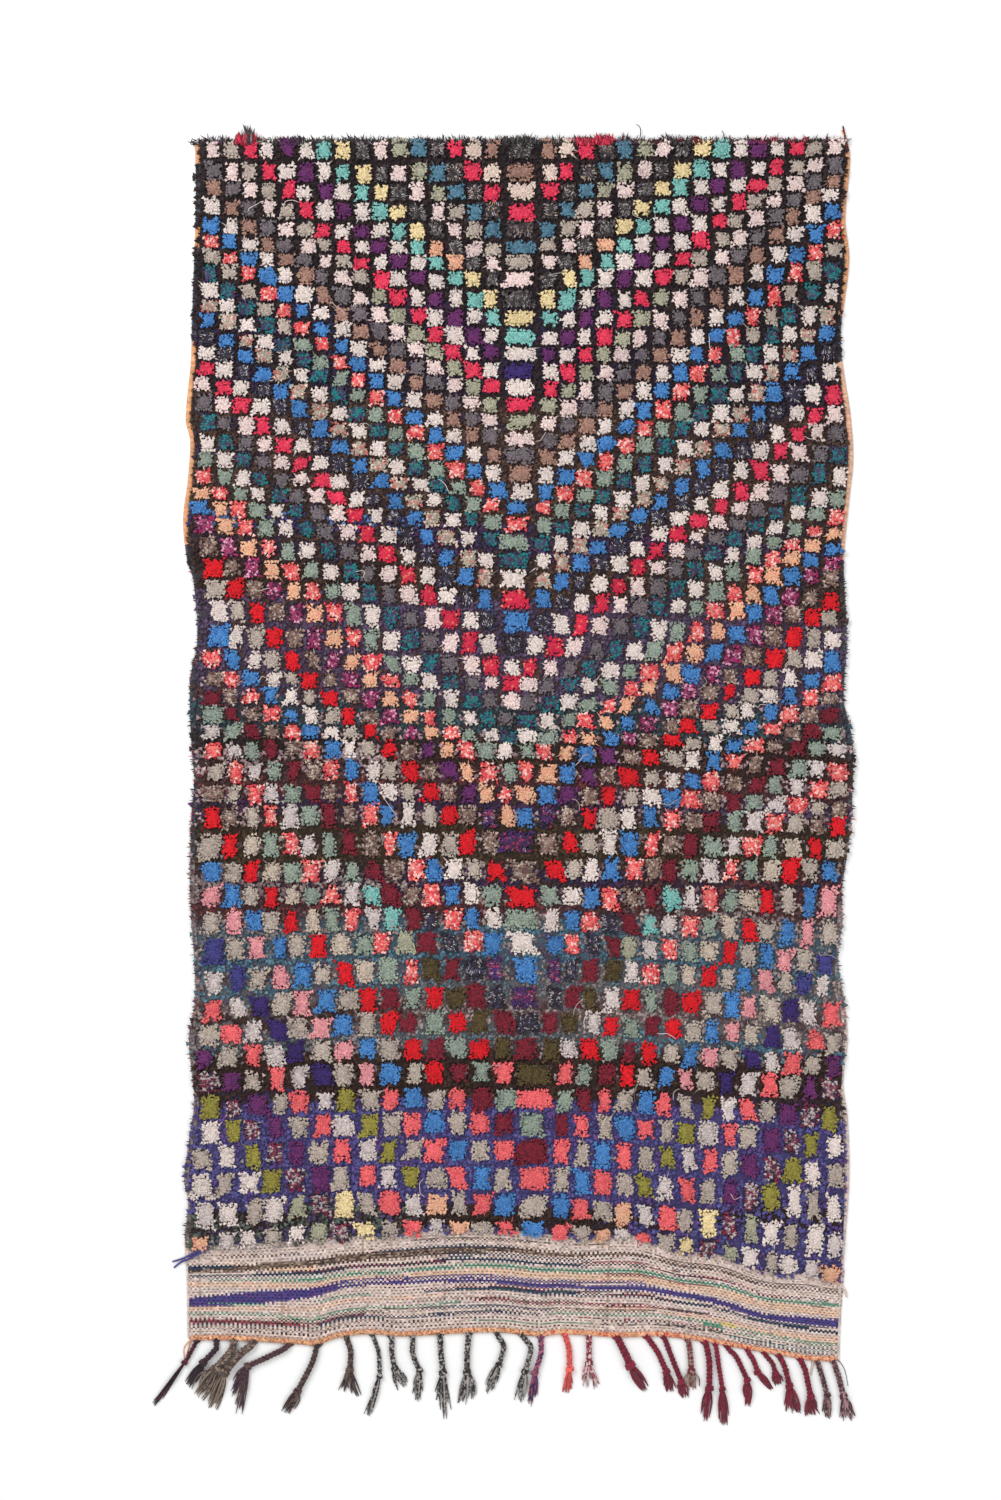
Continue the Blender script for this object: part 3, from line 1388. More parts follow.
STRIPE_YARNS = {
    "brown": Yarn(((92, 74, 66), (130, 108, 94), (64, 54, 54), (160, 136, 122)),
                  (0.35, 0.3, 0.2, 0.15)),
    "green": Yarn(((78, 136, 112), (104, 150, 128))),
    "peach": Yarn(((218, 178, 152), (216, 188, 170)), (0.6, 0.4)),
    "teal": Yarn(((84, 128, 124), (110, 144, 136)), (0.6, 0.4)),
    "straw": Yarn(((206, 186, 118), (190, 170, 110))),
    "violet": Yarn(((74, 62, 122), (64, 66, 116), (96, 64, 120)), (0.6, 0.25, 0.15)),
    "navy": Yarn(((48, 56, 84), (40, 72, 78)), (0.6, 0.4)),
    "wine": Yarn(((140, 52, 66), (78, 44, 46)), (0.5, 0.5)),
    "leaf": Yarn(((80, 142, 114), (116, 156, 132))),
    "dotted": Yarn(((66, 60, 62), (190, 176, 164)), (0.5, 0.5)),
}

# The stripes, each one over those before it: its yarn, with a star where it is dotted, then how far
# across and along it starts, turns and ends, and how wide it is there, in thousandths
STRIPES = """
    brown 0 270 50 100 250 70 250 220 90 500 190 60 750 190 24 1000 190 20
    navy 0 240 50 70 230 30
    navy 280 160 14 380 160 20 500 165 14
    peach 120 290 25 200 270 30
    navy 380 285 20 600 290 15
    wine 600 270 12 940 300 14
    green 30 385 20 300 385 30 500 355 30 900 360 35 1000 350 30
    peach 0 430 50 300 445 55 500 420 70 800 430 90 1000 440 100
    violet 0 630 110 100 575 135 200 510 90 230 500 80
    violet 220 470 20 320 450 18 480 472 16 700 480 14
    violet 220 515 30 320 492 36 480 517 40 600 525 40 680 540 60 770 530 65 880 590 75 1000 565 100
    navy 360 600 16 550 600 20 800 630 20 1000 690 35
    peach 0 690 40 200 680 40 400 640 16
    peach 620 740 14 800 760 40 1000 785 70
    wine 440 700 18 620 710 20 800 730 14
    leaf 160 790 16 420 720 16
    wine 0 830 34 150 835 30 270 830 20
    navy 200 850 16 340 845 22 540 815 20
    leaf 550 820 18 800 810 20 1000 830 14
    dotted* 50 930 20 300 930 24 400 940 14
    dotted 620 910 20 820 900 30
    leaf 840 870 14 990 865 14
    navy* 820 900 16 990 895 16
    teal* 830 925 16 1000 925 16
    navy* 840 955 16 990 955 16
    navy* 740 600 20 860 645 24 1000 660 24
    green 790 835 50 820 835 50
    straw 818 800 40 840 800 40
    wine 300 560 12 520 565 14 740 610 12
    leaf 0 750 14 160 760 16
    brown* 300 775 14 600 765 16 780 780 12
    brown* 0 885 16 240 890 20 600 870 14
    navy 100 325 12 500 310 14 980 310 12
    brown* 50 120 16 400 90 16
    brown* 400 90 16 900 110 16
    navy* 0 330 16 240 340 16
    wine* 160 305 16 400 300 16
    leaf* 20 655 16 300 600 16
    navy* 0 860 16 300 865 16
    wine* 0 410 16 200 415 16
    navy* 340 250 16 600 245 16
    navy* 300 565 16 740 600 16
    brown* 340 670 16 620 665 16
    navy* 360 775 16 560 770 16
    brown* 240 940 16 600 935 16
    wine* 640 400 16 1000 410 16
    navy* 600 250 16 1000 255 16
    brown* 700 155 16 1000 150 16
    wine* 600 850 16 840 870 16
    navy* 620 685 16 800 700 16
    leaf* 440 900 16 620 905 16
    brown* 0 785 16 300 800 16
    wine* 800 745 16 1000 760 16
""".strip().splitlines()


@dataclass
class FlatWeave:
    """The weft-faced, striped end of the rug: one face for each crossing of weft and warp."""

    warps: int = 296
    wefts: int = 72
    overlap: float = 26.0
    inset: float = 1.5
    thickness: float = 4.0
    relief: float = 0.2

    def stripes(self) -> list[Stripe]:
        """Read the table of stripes.

        Returns:
            The stripes, each one over those before it.
        """
        made = []
        for line in STRIPES:
            name, *numbers = line.split()
            course = np.array(numbers, dtype=float).reshape(-1, 3) / 1000
            made.append(Stripe(STRIPE_YARNS[name.strip("*")], course, name.endswith("*")))
        return made

    def place(self, share_across: float, share_along: float) -> tuple[float, float, float]:
        """Where a corner of the weave's top is.

        Args:
            share_across: Its share of the way across.
            share_along: Its share of the way from the twined cord to under the pile.

        Returns:
            Its place in millimetres.
        """
        across = between_edges(share_across, -1290.0 + 220.0 * share_along, self.inset)
        foot = float(TWINED.at(across)) + 2.0
        head = float(PILE_FOOT.at(across)) + self.overlap
        along = foot + (head - foot) * share_along
        column = round(share_across * self.warps)
        row = round(share_along * self.wefts)
        rise = self.relief * (1 if (column + row) % 2 else -1)
        return across, along, self.thickness + rise - 0.2

    def build(self) -> Object:
        """Weave the striped end and dress it.

        Returns:
            The piece.
        """
        rng = np.random.default_rng(SEED + 60)
        bm = bmesh.new()
        bmesh.ops.create_grid(bm, x_segments=self.warps, y_segments=self.wefts, size=0.5)
        dye = bm.loops.layers.float_color.new("yarn")
        stripes = self.stripes()
        span = 230.0
        for face in bm.faces:
            middle = face.calc_center_median()
            across, along = middle.x + 0.5, middle.y + 0.5
            column = int(across * self.warps)
            from_pile = (1 - along) * (span + self.overlap) / span - self.overlap / span
            colour = self.crossing(across, from_pile, column, int(along * self.wefts), stripes,
                                   rng)
            for loop in face.loops:
                loop[dye] = (*colour, 1.0)
        for vert in bm.verts:
            x, y, z = self.place(vert.co.x + 0.5, vert.co.y + 0.5)
            vert.co = ((x + PLANE_SHIFT[0]) * MM, (y + PLANE_SHIFT[1]) * MM, z * MM)
        close_below(bm, 0.0)
        edge_colour = YARNS["weft_cream"].mean()
        for face in bm.faces:
            if face.loops[0][dye][3] < 0.5:
                for loop in face.loops:
                    loop[dye] = (*edge_colour, 1.0)
        mesh = finished_mesh(bm, "flat_weave")
        return place_piece(mesh, WEAVE_FINISH, Part.GROUND)

    def crossing(self, across: float, along: float, column: int, row: int,
                 stripes: list[Stripe], rng: Rng) -> Array:
        """Dye one crossing of weft and warp.

        Args:
            across: Its share of the way across the cloth.
            along: Its share of the way from the pile to the twined cord.
            column: The warp's number.
            row: The weft's number.
            stripes: The stripes, each one over those before it.
            rng: The random source.

        Returns:
            Its linear colour.
        """
        parity = column % 2
        wander = 0.006 * noise.noise(Vector((across * 30, along * 4, 1.3)))
        skipped = parity if along > 0.85 else (column + row) % 2
        yarn = YARNS["weft_cream"]
        for stripe in stripes:
            if stripe.covers(across, along + wander, parity, skipped):
                yarn = stripe.yarn
        colour = yarn.pick(rng, 1, 0.05)[0]
        tone = noise.noise(Vector((across * 9, along * 14, 5.1)))
        if yarn is YARNS["weft_cream"]:
            shaded = np.array([1.0 + 0.04 * tone, 1.0, 1.0 - 0.06 * tone])
            colour = colour * shaded
        if column % 37 == 5 and rng.random() < 0.7:
            return colour * 0.6
        if row % 2 and (column + row // 2) % 2 and rng.random() < (0.92 if along > 0.13 else 0.6):
            return colour * rng.uniform(0.26, 0.52)
        return colour * rng.uniform(0.87, 1.03)


@dataclass
class GroundCloth:
    """The woven ground under the pile."""

    columns: int = 26
    rows: int = 44
    thickness: float = 3.9
    inset: float = 8.0
    lower: float = -1040.0
    upper: float = 1444.0

    def place(self, share_across: float, share_along: float) -> tuple[float, float, float]:
        """Where a corner of the cloth's top is.

        Args:
            share_across: Its share of the way across.
            share_along: Its share of the way from the flat-woven end.

        Returns:
            Its place in millimetres.
        """
        guess = self.lower + (self.upper - self.lower) * share_along
        across = between_edges(share_across, guess, self.inset)
        foot = float(PILE_FOOT.at(across)) + 27.0
        return across, foot + (self.upper - foot) * share_along, self.thickness

    def build(self) -> Object:
        """Build the ground cloth and dress it.

        Returns:
            The piece.
        """
        bm = gridded(self.columns, self.rows, self.place)
        close_below(bm, 0.0)
        mesh = finished_mesh(bm, "ground_cloth")
        rng = np.random.default_rng(SEED + 70)
        carry_dye(mesh, "yarn", YARNS["taupe_grey"].pick(rng, len(mesh.vertices), 0.05))
        return place_piece(mesh, CLOTH_FINISH, Part.GROUND)


@dataclass
class Strand:
    """A round strand of yarn: its points and radii in millimetres, and its dyes."""

    points: Array
    radii: Array
    colour: Array
    fleck: Array


def strands_mesh(name: str, strands: list[Strand], sides: int) -> Mesh:
    """Sweep strands into one mesh that carries their dyes.

    Args:
        name: The mesh's name.
        strands: The strands.
        sides: How many sides a strand has, an even number from 4.

    Returns:
        The mesh, in metres.
    """
    curve = bpy.data.curves.new(name, "CURVE")
    curve.dimensions = "3D"
    curve.bevel_depth = MM
    curve.bevel_resolution = (sides - 4) // 2
    for strand in strands:
        spline = curve.splines.new("POLY")
        count = len(strand.points)
        spline.points.add(count - 1)
        shifted = (strand.points + np.array([*PLANE_SHIFT, 0.0])) * MM
        spline.points.foreach_set("co", np.column_stack([shifted, np.ones(count)]).ravel())
        spline.points.foreach_set("radius", strand.radii)
    swept = bpy.data.objects.new(name, curve)
    bpy.context.scene.collection.objects.link(swept)
    mesh = bpy.data.meshes.new_from_object(swept)
    bpy.data.objects.remove(swept)
    bpy.data.curves.remove(curve)
    bm = bmesh.new()
    bm.from_mesh(mesh)
    bmesh.ops.holes_fill(bm, edges=[edge for edge in bm.edges if edge.is_boundary], sides=0)
    bmesh.ops.recalc_face_normals(bm, faces=bm.faces)
    bm.to_mesh(mesh)
    bm.free()
    mesh.name = name
    mesh.materials.clear()
    mesh.shade_smooth()
    for dye in ("colour", "fleck"):
        rings = np.concatenate([
            np.broadcast_to(getattr(strand, dye), (len(strand.points), 3))
            for strand in strands])
        colours = np.repeat(rings, sides, axis=0)
        carry_dye(mesh, "yarn" if dye == "colour" else dye, colours)
    return mesh


def smooth_course(points: list[tuple], steps: int) -> Array:
    """Draw a smooth course through a few points.

    Args:
        points: The points, in millimetres.
        steps: How many steps there are between two of them.

    Returns:
        The course's points.
    """
    knots = np.array([points[0], *points, points[-1]], dtype=float)
    course = []
    for before, start, end, after in zip(knots, knots[1:], knots[2:], knots[3:]):
        for t in np.arange(steps) / steps:
            course.append(0.5 * (2 * start + (end - before) * t
                                 + (2 * before - 5 * start + 4 * end - after) * t ** 2
                                 + (3 * start - before - 3 * end + after) * t ** 3))
    course.append(knots[-1])
    return np.array(course)


@dataclass
class FrayedEnd:
    """The loose ends of yarn that stand out past the first row of knots."""

    pile: KnottedPile
    spacing: float = 0.75
    curls: int = 360
    tufts: tuple = ((-584, 6, 52, "slate"), (-594, 24, 27, "raspberry"), (-492, 22, 16, "purple"),
                    (-470, 12, 20, "charcoal"),
                    (205, 40, 18, "raspberry"), (228, 16, 26, "raspberry"),
                    (440, 8, 20, "maroon"), (30, 30, 18, "charcoal"))
    stained: tuple = ((-735, -640, "purple"), (-640, -500, "taupe"), (130, 270, "raspberry"),
                      (270, 800, "maroon"), (560, 700, "raspberry"), (-60, 90, "slate"))

    def build(self) -> list[Object]:
        """Build the loose ends and dress them.

        Returns:
            The straight ones, and the curly ones.
        """
        rng = np.random.default_rng(SEED + 40)
        top = self.pile.chart.top
        across = np.arange(-712.0, 778.0, self.spacing)
        across = across + rng.uniform(-1.2, 1.2, len(across))
        length = rng.gamma(4.0, 3.0, len(across)).clip(5, 21)
        length *= 0.95 + 0.8 * soft_lumps(across, np.zeros(len(across)), 30.0, 8.8)
        colour = YARNS["charcoal"].pick(rng, len(across), 0.14)
        pale = rng.random(len(across)) < 0.14
        colour[pale] = YARNS["charcoal"].strands(rng, int(pale.sum()), 0.16)
        for start, end, name in self.stained:
            mine = (across > start) & (across < end) & (rng.random(len(across)) < 0.3)
            colour[mine] = YARNS[name].pick(rng, int(mine.sum()), 0.1)
        along = top - rng.uniform(-1, 8, len(across))
        parts = [self.bundle(across, along, length, colour, 0.65, rng)]
        for place, half, reach, name in self.tufts:
            count = 20 + 3 * half
            roots = place + rng.uniform(-half, half, count)
            long = reach * rng.uniform(0.5, 1.0, count)
            tuft = self.bundle(roots, top - rng.uniform(0, 12, count), long,
                               YARNS[name].pick(rng, count, 0.1), 0.2, rng)
            tuft.foot += 5.0
            tuft.wide += 1.4
            tuft.deep += 1.0
            parts.append(tuft)
        mesh = stamped_mesh("frayed_end", [(Stamp.spindle(0.4), Locks.joined(parts))])
        curly = strands_mesh("curly_ends", [self.curl(rng) for _ in range(self.curls)], 4)
        return [place_piece(made, PILE_FINISH, Part.PILE) for made in (mesh, curly)]

    def curl(self, rng: Rng) -> Strand:
        """Lay one curly end outwards.

        Args:
            rng: The random source.

        Returns:
            The strand.
        """
        place = np.array([rng.uniform(-712, 778), self.pile.chart.top - 4.0])
        heading = math.pi / 2 + rng.normal(0, 0.6)
        points = [(*place, rng.uniform(5, 14))]
        bend = rng.normal(0, 0.9)
        for _ in range(3):
            heading += bend + rng.normal(0, 0.5)
            size = rng.uniform(3.5, 9.0)
            place = place + (math.cos(heading) * size, abs(math.sin(heading)) * size)
            points.append((*place, rng.uniform(5, 16)))
        path = smooth_course(points, 3)
        colour = YARNS["charcoal"].pick(rng, 1, 0.2)[0]
        for start, end, name in self.stained:
            if start < place[0] < end and rng.random() < 0.3:
                colour = YARNS[name].pick(rng, 1, 0.1)[0]
        return Strand(path, np.linspace(1.5, 0.8, len(path)), colour, colour)

    def bundle(self, across: Array, along: Array, length: Array,
               colour: Array, fan: float, rng: Rng) -> Locks:
        """Lay some loose ends outwards.

        Args:
            across: Where their roots are across the rug.
            along: Where they are along it.
            length: How far each one reaches.
            colour: Their linear colours.
            fan: How far they turn aside, in radians.
            rng: The random source.

        Returns:
            The ends.
        """
        count = len(across)
        turn = np.clip(rng.normal(0, fan, count), -1.4, 1.4)
        lean = np.column_stack([np.sin(turn) * length, np.cos(turn) * length])
        wide = rng.uniform(1.4, 3.0, count)
        return Locks(across, along, rng.uniform(4.0, 15.0, count), rng.uniform(-1.5, 3.5, count),
                     wide, wide * 0.8, rng.uniform(0, 6, count), lean, colour, 1.0)


class Side(Enum):
    """A long edge of the rug."""

    LEFT = "left"
    RIGHT = "right"


@dataclass
class Selvedge:
    """An overcast edge: yarn wrapped round the outer warps, changed where one ran out."""

    side: Side
    reach: float = 7.0
    radius: float = 6.9
    wrap: float = 4.4
    groove: float = 0.93
    flatness: float = 0.5
    sides: int = 6

    def yarns(self) -> tuple:
        """The yarns along the edge, each with the chart unit where it starts.

        Returns:
            The starts and yarn names, from the frayed end.
        """
        if self.side is Side.LEFT:
            return ((0, "orange"), (164, "selvedge_dark"), (228, "orange"),
                    (248, "selvedge_dark"), (342, "orange"), (545, "selvedge_dark"),
                    (860, "selvedge_grey"), (1245, "weft_cream"))
        return ((0, "orange"), (316, "selvedge_dark"), (362, "orange_peach"),
                (560, "selvedge_dark"), (840, "selvedge_grey"), (1010, "weft_cream"))

    def build(self) -> Object:
        """Wrap the edge and dress it.

        Returns:
            The piece.
        """
        left = self.side is Side.LEFT
        rng = np.random.default_rng(SEED + (80 if left else 81))
        lower = -1290.0 if left else -1337.0
        along = np.arange(1444.0, lower, -self.wrap / 2)
        bare = np.interp(along, *((-1110, -1080) if left else (-1190, -1160), (0.32, 1.0)))
        edge = (LEFT.at(along) + self.reach * bare if left
                else RIGHT.at(along) - self.reach * bare)
        count = len(along)
        height = np.full(count, self.radius * self.flatness + 0.2)
        radii = np.where(np.arange(count) % 2, self.radius, self.radius * self.groove)
        radii = radii * rng.uniform(0.96, 1.05, count) * bare
        colour = np.empty((count, 3))
        for start, name in self.yarns():
            mine = along < along_mm(start)
            colour[mine] = np.repeat(YARNS[name].pick(rng, count, 0.05), 2, axis=0)[:count][mine]
        strand = Strand(np.column_stack([edge, along, height]), radii, colour, colour)
        mesh = strands_mesh(f"overcast_{self.side.value}", [strand], self.sides)
        middle = self.radius * self.flatness + 0.2
        for vert in mesh.vertices:
            vert.co.z = (middle + (vert.co.z / MM - middle) * self.flatness) * MM
        return place_piece(mesh, SELVEDGE_FINISH, Part.LEFT_EDGE if left else Part.RIGHT_EDGE)


@dataclass
class TwinedCord:
    """Two orange yarns twined round each other along the flat-woven end."""

    pitch: float = 13.0
    ply: float = 3.6
    swing: float = 3.3
    step: float = 2.0
    height: float = 5.4

    def build(self) -> Object:
        """Twine the cord and dress it.

        Returns:
            The piece.
        """
        rng = np.random.default_rng(SEED + 90)
        across = np.arange(-719.0, 760.0, self.step)
        along = TWINED.at(across) - 1.0
        strands = []
        for number in range(2):
            turn = across / self.pitch * math.tau + number * math.pi
            points = np.column_stack([across, along + self.swing * np.cos(turn),
                                      self.height + 1.6 * np.sin(turn)])
            yarn = Yarn(((224, 174, 138), (212, 156, 118)), (0.6, 0.4))
            colour = np.repeat(yarn.pick(rng, len(across) // 8 + 1, 0.06), 8,
                               axis=0)[:len(across)]
            fleck = np.where(across[:, None] > 90, (200.0, 92, 72), (168.0, 104, 72))
            strands.append(Strand(points, np.full(len(across), self.ply), colour, linear(fleck)))
        mesh = strands_mesh("twined_cord", strands, 6)
        return place_piece(mesh, CORD_FINISH, Part.FRINGE)


class Shade(Enum):
    """The warp yarns that the tassels are plied from: a main colour and its flecks."""

    WINE_BLACK = ((92, 38, 50), (28, 22, 28))
    PLUM = ((66, 42, 54), (34, 26, 34))
    OLIVE = ((82, 66, 60), (140, 122, 108))
    PLUM_WINE = ((94, 70, 62), (64, 34, 60))
    BROWN = ((98, 80, 70), (56, 38, 44))
    TWEED = ((42, 37, 37), (166, 160, 156))
    PINK_NAVY = ((158, 84, 104), (42, 38, 84))
    CORAL = ((212, 92, 84), (190, 72, 74))
    WINE_WHITE = ((132, 40, 56), (220, 196, 196))
    MAROON = ((128, 36, 56), (106, 28, 46))
    WINE_BEIGE = ((120, 40, 54), (150, 134, 120))
    MAROON_TWEED = ((62, 40, 46), (150, 116, 114))
    PINK_TWEED = ((78, 44, 52), (170, 136, 138))


@dataclass(frozen=True)
class Tassel:
    """A plied tassel: its root across the rug, then (sideways, down) steps from that root."""

    root: float
    width: float
    bend: tuple
    neck: tuple
    tips: tuple
    shade: Shade
    brush: float = 1.0


TASSELS = (
    Tassel(-703, 10, (-23, 46), (-30, 57), ((-98, 151),), Shade.WINE_BLACK, 0.5),
    Tassel(-660, 13, (-2, 27), (-30, 57), ((-66, 110),), Shade.PLUM),
    Tassel(-618, 17, (-9, 30), (-44, 71), ((-85, 140),), Shade.OLIVE, 2.0),
    Tassel(-573, 17, (-30, 32), (-69, 76), ((-103, 156),), Shade.OLIVE, 2.0),
    Tassel(-490, 13, (-44, 32), (-98, 57), ((-140, 124), (-121, 163)), Shade.PLUM_WINE),
    Tassel(-428, 13, (-14, 50), (-46, 112), ((-73, 165),), Shade.BROWN, 1.3),
    Tassel(-364, 13, (11, 41), (9, 82), ((-7, 133), (21, 144)), Shade.BROWN),
    Tassel(-305, 10, (16, 50), (18, 103), ((-7, 190),), Shade.TWEED, 0.5),
    Tassel(-259, 12, (0, 46), (7, 80), ((30, 121),), Shade.TWEED),
    Tassel(-211, 12, (0, 48), (16, 85), ((11, 153),), Shade.TWEED),
    Tassel(-149, 13, (2, 44), (7, 92), ((-5, 156), (14, 195)), Shade.TWEED),
    Tassel(-82, 13, (-5, 53), (-5, 94), ((-16, 169), (9, 160)), Shade.TWEED),
    Tassel(-21, 12, (18, 39), (7, 80), ((-18, 144),), Shade.TWEED),
    Tassel(39, 12, (20, 37), (7, 89), ((-5, 158),), Shade.TWEED),
    Tassel(82, 12, (0, 46), (-14, 89), ((-25, 163),), Shade.PINK_NAVY),
    Tassel(137, 13, (9, 39), (11, 85), ((7, 140),), Shade.CORAL),
    Tassel(192, 13, (0, 37), (0, 69), ((-7, 124), (21, 124)), Shade.WINE_WHITE),
    Tassel(256, 17, (18, 41), (30, 69), ((66, 128),), Shade.MAROON, 1.5),
    Tassel(323, 13, (27, 44), (46, 87), ((57, 133),), Shade.MAROON),
    Tassel(362, 12, (18, 50), (41, 108), ((46, 147),), Shade.MAROON),
    Tassel(419, 13, (5, 41), (7, 78), ((9, 121),), Shade.WINE_BEIGE, 1.4),
    Tassel(458, 14, (9, 53), (9, 112), ((0, 185),), Shade.MAROON),
    Tassel(481, 11, (7, 50), (16, 110), ((18, 190),), Shade.MAROON),
    Tassel(506, 12, (23, 32), (48, 85), ((50, 144),), Shade.MAROON, 1.2),
    Tassel(554, 12, (14, 30), (23, 57), ((55, 98),), Shade.MAROON, 0.7),
    Tassel(593, 11, (18, 30), (25, 53), ((32, 82),), Shade.MAROON),
    Tassel(627, 13, (14, 37), (23, 76), ((20, 138), (42, 147)), Shade.MAROON, 1.3),
    Tassel(676, 13, (11, 34), (23, 92), ((14, 137), (37, 135)), Shade.MAROON),
    Tassel(714, 12, (11, 41), (23, 85), ((23, 137),), Shade.MAROON_TWEED),
    Tassel(751, 13, (11, 39), (23, 85), ((25, 144), (46, 140)), Shade.PINK_TWEED),
)


@dataclass
class Fringe:
    """The tassels: warp ends gathered, plied, knotted, and loose past the knot."""

    tassels: tuple = TASSELS
    plies: int = 2
    twist: float = 18.0
    fullness: float = 1.12
    brush_strands: int = 26
    low: float = 0.6

    def build(self) -> list[Object]:
        """Ply the tassels and dress them.

        Returns:
            The plied cords, and the loose brushes at their ends.
        """
        rng = np.random.default_rng(SEED + 100)
        cords, brushes = [], []
        for tassel in self.tassels:
            cord, brush = self.tassel(tassel, rng)
            cords += cord
            brushes += brush
        meshes = strands_mesh("tassels", cords, 6), strands_mesh("tassel_brushes", brushes, 4)
        return [place_piece(mesh, TASSEL_FINISH, Part.FRINGE) for mesh in meshes]

    def tassel(self, tassel: Tassel, rng: Rng) -> tuple[list[Strand], list[Strand]]:
        """Make one tassel.

        Args:
            tassel: Its shape.
            rng: The random source.

        Returns:
            The strands of its cord and knot, and those of its brush.
        """
        root = np.array([tassel.root, float(TWINED.at(tassel.root))])
        radius = tassel.width / 2 * self.fullness
        middle = radius + self.low

        def step(point: tuple, height: float) -> tuple:
            """Where a (sideways, down) step from the root is."""
            return root[0] + point[0], root[1] - point[1], height

        gather = step((tassel.bend[0] * 0.3, 16), middle)
        course = smooth_course([step((0, 2), 4.2), gather, step(tassel.bend, middle),
                                step(tassel.neck, middle)], 9)
        strands = self.plied(course, radius, tassel.shade, rng)
        for offset in rng.uniform(-13, 13, 4):
            path = smooth_course([step((offset, 1), 3.6), step((offset * 0.6, 8), 3.6),
                                  gather], 3)
            strands.append(self.strand(path, np.full(len(path), radius * 0.36), tassel.shade,
                                       rng))
        strands += self.knot(course, radius, tassel.shade, rng)
        share = self.brush_strands // len(tassel.tips) + 2
        brush = []
        for tip in tassel.tips:
            brush += self.brush(tassel, step, tip, share, radius, rng)
        return strands, brush

    def strand(self, points: Array, radii: Array, shade: Shade,
               rng: Rng, mixed: float = 0.0) -> Strand:
        """Dye one strand.

        Args:
            points: Its points.
            radii: Its radii.
            shade: Its yarn.
            rng: The random source.
            mixed: How much of its main colour is that of the flecks.

        Returns:
            The strand.
        """
        main, fleck = np.array(shade.value, dtype=float)
        light = rng.uniform(0.86, 1.14)
        points = points.copy()
        points[:, 2] = np.maximum(points[:, 2], radii + 0.2)
        return Strand(points, radii, linear((main + (fleck - main) * mixed) * light),
                      linear(fleck))

    def plied(self, course: Array, radius: float, shade: Shade, rng: Rng) -> list[Strand]:
        """Twist plies round each other along a course.

        Args:
            course: The middle line.
            radius: The cord's radius.
            shade: Its yarn.
            rng: The random source.

        Returns:
            The plies.
        """
        steps = np.linalg.norm(np.diff(course, axis=0), axis=1)
        travelled = np.concatenate([[0.0], np.cumsum(steps)])
        fine = np.arange(0, travelled[-1], 2.8)
        line = np.column_stack([np.interp(fine, travelled, axis) for axis in course.T])
        ahead = np.gradient(line, axis=0)
        ahead /= np.linalg.norm(ahead, axis=1)[:, None]
        aside = np.column_stack([-ahead[:, 1], ahead[:, 0], np.zeros(len(line))])
        start = rng.uniform(0, math.tau)
        plies = []
        for number in range(self.plies):
            turn = start + fine / self.twist * math.tau + number * math.tau / self.plies
            offset = (aside * np.cos(turn)[:, None]
                      + np.array([0, 0, 1.0]) * np.sin(turn)[:, None]) * radius * 0.5
            radii = np.full(len(fine), radius * 0.54) * rng.uniform(0.9, 1.12, len(fine))
            plies.append(self.strand(line + offset, radii, shade, rng, number % 2 * 0.3))
        return plies

    def knot(self, course: Array, radius: float, shade: Shade, rng: Rng) -> list[Strand]:
        """Tie the overhand knot at a cord's end.

        Args:
            course: The cord's middle line.
            radius: The cord's radius.
            shade: Its yarn.
            rng: The random source.

        Returns:
            The turns of the knot.
        """
        end = course[-1]
        ahead = course[-1] - course[-3]
        ahead /= np.linalg.norm(ahead)
        aside = np.array([-ahead[1], ahead[0], 0.0])
        turn = np.linspace(0, math.tau * 1.7, 16)
        ring = radius * 0.95
        points = (end + np.outer(np.linspace(-0.5, 0.7, 16) * radius, ahead)
                  + np.outer(np.cos(turn) * ring, aside)
                  + np.outer(np.sin(turn) * ring * 0.55, (0, 0, 1.0)))
        points[:, 2] += 1.0
        return [self.strand(points, np.full(16, radius * 0.5), shade, rng)]

    def brush(self, tassel: Tassel, step: callable, tip: tuple, count: int, radius: float,
              rng: Rng) -> list[Strand]:
        """Fan loose yarn out past the knot.

        Args:
            tassel: The tassel.
            step: Gives the place of a (sideways, down) step from the root.
            tip: Where the brush ends, as such a step.
            count: How many strands it has.
            radius: The cord's radius.
            rng: The random source.

        Returns:
            The strands.
        """
        neck = np.array(step(tassel.neck, radius))
        end = np.array(step(tip, 2.4))
        ahead = end - neck
        length = np.linalg.norm(ahead)
        aside = np.array([-ahead[1], ahead[0], 0.0]) / length
        strands = []
        for _ in range(count):
            spread = rng.normal(0, 1.0) * 3.6 * tassel.brush
            reach = rng.uniform(0.6, 1.06)
            height = rng.uniform(1.6, radius * 1.5)
            body = neck + ahead * 0.45 * reach + aside * spread * 1.35
            body[2] = height
            last = neck + ahead * reach + aside * (spread * 1.3 + rng.normal(0, 3.0))
            last[2] = min(height, 3.4)
            path = smooth_course([tuple(neck + aside * spread * 0.3), tuple(body),
                                  tuple(last)], 3)
            radii = np.interp(np.linspace(0, 1, len(path)), [0, 0.3, 0.8, 1],
                              [1.8, 2.1, 1.6, 0.6])
            strands.append(self.strand(path, radii, tassel.shade, rng,
                                       rng.choice([0.0, 0.0, 0.5, 0.9])))
        return strands


